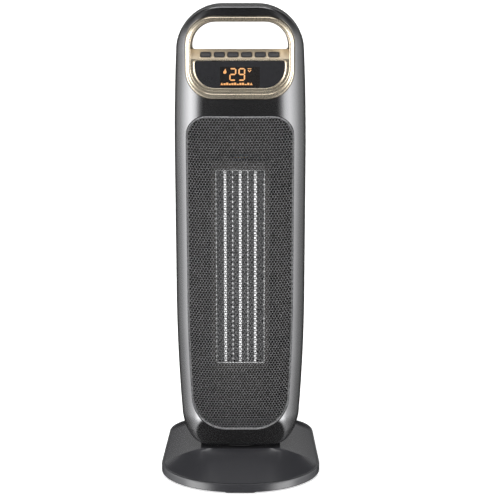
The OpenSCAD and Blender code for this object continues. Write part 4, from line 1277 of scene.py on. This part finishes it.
@dataclass
class HeatingBlock:
    """The corrugated fins and rounded tube noses of the heating block."""

    wave: float = 0.0042
    sheet: float = 0.00035
    nose: float = 0.0011
    pitch: float = 0.0186
    plate_half: float = 0.00035
    rail: float = 0.0005

    def build(self) -> None:
        """Build the fins and the noses of the element tubes and plates."""
        low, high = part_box("heater_plates")
        tube_low, tube_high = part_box("heater_tubes")
        pitch, thin = self.pitch, self.plate_half
        tube_half = (tube_high[0] - tube_low[0] - 2 * pitch) / 2
        edges = [low[0] + 2 * thin, -pitch - tube_half, -pitch + tube_half, -pitch / 2 - thin,
                 -pitch / 2 + thin, -tube_half]
        spans = [(edges[i], edges[i + 1]) for i in (0, 2, 4)]
        spans += [(-b, -a) for a, b in spans]
        draft = Draft()
        zs = np.arange(low[2] + 0.001, high[2] - 0.001, self.wave / 10)
        for x0, x1 in spans:
            swing = (x1 - x0) / 2 - self.sheet
            phase = 2 * math.pi * (zs - zs[0]) / self.wave
            xs = (x0 + x1) / 2 + swing * np.tanh(1.6 * np.sin(phase)) / math.tanh(1.6)
            for off, flip in ((-self.sheet, False), (self.sheet, True)):
                ends = (np.full_like(zs, low[1] + 0.0008), np.full_like(zs, high[1] - 0.001))
                draft.grid([np.column_stack([xs, end, zs + off]) for end in ends], flip=flip)
            draft.grid([np.column_stack([xs, ends[0], zs + off]) for off in (-self.sheet, self.sheet)])
        # The fins take the dark aluminium copy as painted shade inside the block.
        settle(draft.build("corrugated_fins", [FIN.material()]), "tower", "aluminium", "heater_fins")
        noses = Draft()
        bars = [(i * pitch, tube_half) for i in (-1, 0, 1)] + [(i * pitch / 2, self.rail) for i in (-1, 1)]
        for x, half in bars:
            columns = []
            for angle in np.linspace(0, math.pi, 9):
                columns.append([(x - half * math.cos(angle), low[1] - self.nose * math.sin(angle), z)
                                for z in np.linspace(low[2], high[2], 3)])
            noses.grid(np.array(columns), flip=True)
        for z in (low[2], high[2]):
            rows = []
            for angle in np.linspace(0, math.pi, 5):
                rows.append([(x, low[1] - 0.0004 * math.sin(angle), z - self.rail * math.cos(angle))
                             for x in np.linspace(low[0], high[0], 9)])
            noses.grid(np.array(rows))
        settle(noses.build("tube_noses", [ALUMINIUM.material()]), "tower", "aluminium")


# ---------------------------------------------------------------- base and rear switch


@dataclass
class Base:
    """The hipped base shell with its upright rim."""

    front_depth: float = 0.074
    rear_corner: float = 0.048
    taper: float = 0.004
    plateau_half: float = 0.050
    plateau_front: float = -0.053
    plateau_rear: float = 0.062
    plateau_corner: float = 0.012
    plateau_bow: float = 0.003
    rim_top: float = 0.013
    bead: float = 0.0012
    lip: float = 0.0024
    swell: float = 0.0006
    bore: float = 0.033
    steps: int = 13
    front_steps: int = 49

    def __post_init__(self) -> None:
        """Read the outer sizes from the frame."""
        low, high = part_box("base_shell")
        self.half, self.front, self.rear = high[0], low[1], high[1]
        self.low, self.high = low[2], high[2]
        self.widest = self.front + self.front_depth

    def _stretches(self, front: Array, side: Array, corner: Array, z: float) -> list[Array]:
        """Mirror the right side and the rear corner of an outline, and put it at height z.

        Args:
            front: The front stretch, from left to right.
            side: The right side, from the front.
            corner: The right rear corner.
            z: The height.

        Returns:
            The front, right side, rear and left side.
        """
        mirror = np.array([-1, 1])
        back = np.vstack([corner, corner[::-1] * mirror])
        parts = [front, side, back, side[::-1] * mirror]
        return [np.column_stack([part, np.full(len(part), z)]) for part in parts]

    def _outline(self, inset: float, z: float) -> list[Array]:
        """Lay out the rim's outline.

        Args:
            inset: Distance in from the widest outline.
            z: The height.

        Returns:
            The outline in four stretches.
        """
        a = np.linspace(-math.pi / 2, math.pi / 2, self.front_steps)
        depth = self.front_depth - inset
        front = np.column_stack([(self.half - inset) * np.sin(a), self.widest - depth * np.cos(a)])
        t = np.linspace(0, 1, self.steps)
        corner_y = self.rear - self.rear_corner
        side_y = self.widest + (corner_y - self.widest) * t
        side = np.column_stack([self.half - inset - self.taper * t, side_y])
        turn = np.radians(np.linspace(0, 90, self.steps))
        radius = self.rear_corner - inset
        corner_x = self.half - self.taper - self.rear_corner
        corner = np.column_stack([corner_x + radius * np.cos(turn), corner_y + radius * np.sin(turn)])
        return self._stretches(front, side, corner, z)

    def _plateau(self) -> list[Array]:
        """Lay out the flat top's edge.

        Returns:
            The edge in the same four stretches.
        """
        t = np.linspace(-1, 1, self.front_steps)
        front = np.column_stack([self.plateau_half * t, self.plateau_front + self.plateau_bow * t**2])
        y0, y1, r = self.plateau_front + self.plateau_bow, self.plateau_rear, self.plateau_corner
        side = np.column_stack([np.full(self.steps, self.plateau_half), np.linspace(y0, y1 - r, self.steps)])
        turn = np.radians(np.linspace(0, 90, self.steps))
        corner = np.column_stack([self.plateau_half - r + r * np.cos(turn), y1 - r + r * np.sin(turn)])
        return self._stretches(front, side, corner, self.high)

    @staticmethod
    def _ring(stretches: Sequence[Array]) -> Array:
        """Join stretches into one ring without doubled places."""
        return np.vstack([s[:-1] for s in stretches])

    def build(self) -> None:
        """Build the base shell."""
        draft = Draft()
        profile = [(0.0016, self.low), (0.0004, self.low + 0.0003), (0.0, self.low + 0.0012)]
        bead_low, lip = self.rim_top - self.bead, self.bead + self.lip
        wall = [(0.0, z) for z in np.linspace(self.low + 0.0012, bead_low, 4)]
        bead = [(self.bead * (1 - math.cos(a)), bead_low + self.bead * math.sin(a))
                for a in np.linspace(0, math.pi / 2, 7)]
        groove = [(lip - 0.0012, self.rim_top - 0.0001), (lip - 0.0009, self.rim_top - 0.0009),
                  (lip - 0.0003, self.rim_top - 0.0009), (lip, self.rim_top - 0.0002)]
        for part in (profile, wall + bead[1:] + groove[:1], groove):
            draft.grid([self._ring(self._outline(inset, z)) for inset, z in part], closed=True)
        foot = self._outline(*groove[-1])
        for lower, upper in zip(foot, self._plateau()):
            rows = []
            for u in np.linspace(0, 1, 15):
                row = lower * (1 - u) + upper * u
                row[:, 2] += self.swell * math.sin(math.pi * u)
                rows.append(row)
            draft.grid(rows)
        edge = self._ring(self._plateau())
        a = np.arctan2(edge[:, 1], edge[:, 0])
        bore = np.column_stack([self.bore * np.cos(a), self.bore * np.sin(a), np.full(len(a), self.high)])
        draft.grid([edge, bore], closed=True)
        settle(draft.build("base_skin", [BASE_GLOSS.material()]), "base", "base_gloss", "base_shell")


@dataclass
class RearSwitch:
    """The frame of the rocker switch on the back, with the well that its key stands in."""

    key_half: float = 0.0064
    key_reach: float = 0.0096
    well: float = 0.011
    edge: float = 0.0006
    flange: float = 0.0018

    def build(self) -> None:
        """Build the switch's frame."""
        low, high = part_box("switch_housing")
        cz = (low[2] + high[2]) / 2
        draft = Draft()
        outer = rounded(0, high[0], low[2], high[2], 0.0022, 0.0022, 6)
        hole = rounded(0, self.key_half, cz - self.key_reach, cz + self.key_reach, 0.0006, 0.0006, 4)
        face = outer.grown(-self.edge)
        plate(draft, face, [hole], high[1], 1.0)
        rim = [(out, -down) for out, down in quarter(self.edge)]
        draft.sweep(face, [*rim, (self.edge, -self.flange)], high[1])
        draft.sweep(hole, [(0, 0), (0, -self.well)], high[1], flip=True)
        draft.cap(hole.at(high[1] - self.well), flip=True)
        settle(draft.build("switch_frame", [BLACK.material()]), "tower", "black_plastic", "switch_housing")


# ---------------------------------------------------------------- studio


@dataclass(frozen=True)
class Panel:
    """A bright part of the room, by how far round it is, from ahead (0) to behind (1), and how high."""

    around: Stops
    heights: Stops
    strength: float

    def level(self, shader: Shader, around: Value, height: Value) -> Value:
        """Return its brightness in each direction."""
        return shader.level(around, self.around) * shader.level(height, self.heights) * self.strength


SIDE_PANELS = Panel(
    ((0.0, 0.010), (0.017, 0.018), (0.067, 0.17), (0.146, 0.90), (0.281, 1.25), (0.456, 0.80),
     (0.671, 0.28), (0.81, 0.15), (0.90, 0.03), (1.0, 0.0)),
    ((0.0, 0.15), (0.22, 0.30), (0.32, 0.62), (0.45, 1.1), (0.6, 1.0), (0.7, 0.30), (0.8, 0.08), (1.0, 0.03)),
    4.5)
RIM_PANELS = Panel(
    ((0.0, 0.0), (0.06, 0.0), (0.14, 1.0), (0.24, 1.0), (0.36, 0.0), (1.0, 0.0)),
    ((0.0, 0.0), (0.24, 0.0), (0.28, 1.0), (0.32, 1.0), (0.36, 0.0), (1.0, 0.0)), 6.0)
REAR_PANEL = Panel(
    ((0.0, 0.0), (0.90, 0.0), (0.96, 1.0), (1.0, 1.0)),
    ((0.0, 0.0), (0.54, 0.0), (0.60, 1.0), (0.70, 1.0), (0.80, 0.0), (1.0, 0.0)), 0.55)
TOP_PANEL = Panel(
    ((0.0, 1.0), (1.0, 1.0)),
    ((0.0, 0.0), (0.955, 0.0), (0.965, 1.0), (0.985, 1.0), (1.0, 0.0)), 3.5)


@dataclass
class Studio:
    """The floor, the lights and the camera."""

    eye: tuple[float, float, float] = (0.01494, -1.69235, 0.70307)
    pitch: float = math.radians(14.055)
    turn: float = math.radians(0.104)
    lens: float = 100.3
    slant: float = 0.15
    panels: tuple[Panel, ...] = (SIDE_PANELS, RIM_PANELS, REAR_PANEL, TOP_PANEL)
    key_at: tuple[float, float, float] = (-0.3, -2.0, 2.3)
    key_size: tuple[float, float] = (1.2, 0.8)
    key_power: float = 14
    block_y: float = -0.047
    block_half: float = 0.029
    block_power: float = 0.07

    def build(self) -> None:
        """Set up the whole studio."""
        self._camera()
        self._floor()
        self._world()
        self._softbox("key_softbox", self.key_at, (0, 0, 0.3), self.key_size, self.key_power)
        low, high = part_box("heater_plates")
        middle = (low[2] + high[2]) / 2
        size = (2 * self.block_half, high[2] - low[2])
        self._softbox("block_light", (0, self.block_y, middle), (0, 0, middle), size, self.block_power)

    def _camera(self) -> None:
        """Place the camera."""
        data = bpy.data.cameras.new("camera")
        data.lens = self.lens
        data.sensor_width = 36.0
        camera = bpy.data.objects.new("camera", data)
        camera.location = self.eye
        camera.rotation_euler = (math.pi / 2 - self.pitch, 0.0, self.turn)
        bpy.context.scene.collection.objects.link(camera)
        bpy.context.scene.camera = camera

    def _floor(self) -> None:
        """Lay a pale floor that reaches to the horizon."""
        finish = bpy.data.materials.new("pale_floor")
        finish.use_nodes = True
        shader = Shader(finish.node_tree)
        soft = shader.noise(shader.place(), 3.0, 2.0)
        colour = shader.mix(soft, (0.93, 0.93, 0.93, 1.0), (0.96, 0.96, 0.96, 1.0))
        surface = shader.node("ShaderNodeBsdfPrincipled", {}, {
            "Base Color": colour, "Roughness": 0.9, "Emission Color": (1, 1, 1, 1), "Emission Strength": 0.6,
        })
        shader.node("ShaderNodeOutputMaterial", {}, {"Surface": surface})
        draft = Draft()
        size = np.linspace(-12, 12, 9)
        draft.grid([np.column_stack([size, np.full_like(size, y), np.zeros_like(size)]) for y in size])
        floor = draft.build("floor", [finish])
        floor.visible_glossy = False

    def _world(self) -> None:
        """Light the room: dark ahead, bright panels at both sides, and a plain white backdrop."""
        world = bpy.data.worlds.new("room")
        bpy.context.scene.world = world
        world.use_nodes = True
        shader = Shader(world.node_tree)
        ways = shader.node("ShaderNodeTexCoord", output="Generated")
        parts = shader.node("ShaderNodeSeparateXYZ", {}, {0: ways})
        x, y, z = (parts.output(i) for i in range(3))
        flat = (x * x + y * y) ** 0.5
        around = y / flat.at_least(0.001) * 0.5 + 0.5
        height = z * 0.5 + 0.5
        sides, *others = self.panels
        level = sides.level(shader, around, height) * (1 - x * self.slant)
        for panel in others:
            level = level + panel.level(shader, around, height)
        grey = shader.node("ShaderNodeCombineColor", {}, {0: level, 1: level, 2: level})
        room = shader.node("ShaderNodeBackground", {}, {"Color": grey, "Strength": 1.0})
        plain = shader.node("ShaderNodeBackground", {}, {"Color": (1.0, 1.0, 1.0, 1.0), "Strength": 1.0})
        seen = shader.node("ShaderNodeLightPath", output="Is Camera Ray")
        shown = shader.node("ShaderNodeMixShader", {}, {0: seen, 1: room, 2: plain})
        shader.node("ShaderNodeOutputWorld", {}, {"Surface": shown})

    @staticmethod
    def _softbox(name: str, at: tuple[float, float, float], to: tuple[float, float, float],
                 size: tuple[float, float], power: float) -> None:
        """Hang one rectangular softbox.

        Args:
            name: Its name.
            at: Where it hangs.
            to: What it points at.
            size: Its width and height.
            power: Its power in watts.
        """
        data = bpy.data.lights.new(name, "AREA")
        data.shape = "RECTANGLE"
        data.size, data.size_y = size
        data.energy = power
        data.spread = math.radians(150)
        lamp = bpy.data.objects.new(name, data)
        lamp.visible_camera = False
        lamp.visible_glossy = False
        lamp.location = at
        lamp.rotation_euler = (Vector(to) - Vector(at)).to_track_quat("-Z", "Z").to_euler()
        bpy.context.scene.collection.objects.link(lamp)


# ---------------------------------------------------------------- putting it together


def dress_nodes() -> None:
    """Give every mechanical node the finish of its material slot, or the darker one listed in DARK_NODES,
    which is painted shade on the parts behind the grille.
    """
    slots = {part["node"]: part["material_slot"] for part in frame["record"]["subparts"]}
    for name, node in frame["nodes"].items():
        finish = DARK_NODES.get(name, SLOT_FINISHES[slots[name]]).material()
        node.data.materials.clear()
        node.data.materials.append(finish)


def main() -> None:
    """Build the heater and the studio."""
    logging.basicConfig(level=logging.INFO, format="%(name)s: %(message)s")
    studio = Studio()
    studio.build()
    dress_nodes()
    front_low, front_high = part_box("front_housing")
    rear_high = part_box("rear_housing")[1]
    form = TowerForm(front_high[0], front_low[2], front_high[2], front_low[1], rear_high[1], front_high[1])
    grille_low, grille_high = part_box("front_grille")
    grille = form.outline(0.0160, grille_low[2] + 0.0012, grille_high[2] - 0.0012, 0.041, 0.025, 80)
    handle = Handle()
    switch_low, switch_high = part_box("switch_housing")
    switch = rounded(0, 0.0101, switch_low[2] + 0.0024, switch_high[2] - 0.0024, 0.001, 0.001, 4)
    housings = Housings(form)
    housings.build_front(handle.outer.grown(0.0002), grille)
    housings.build_rear(handle.passage(handle.rear).grown(handle.rear_lip + 0.0002), switch)
    handle.build()
    Controls(handle, Strip()).build()
    Grille(form, grille).build()
    HeatingBlock().build()
    Base().build()
    RearSwitch().build()
    view = bpy.context.scene.view_settings
    view.view_transform = "Standard"


if __name__ == "__main__":
    main()
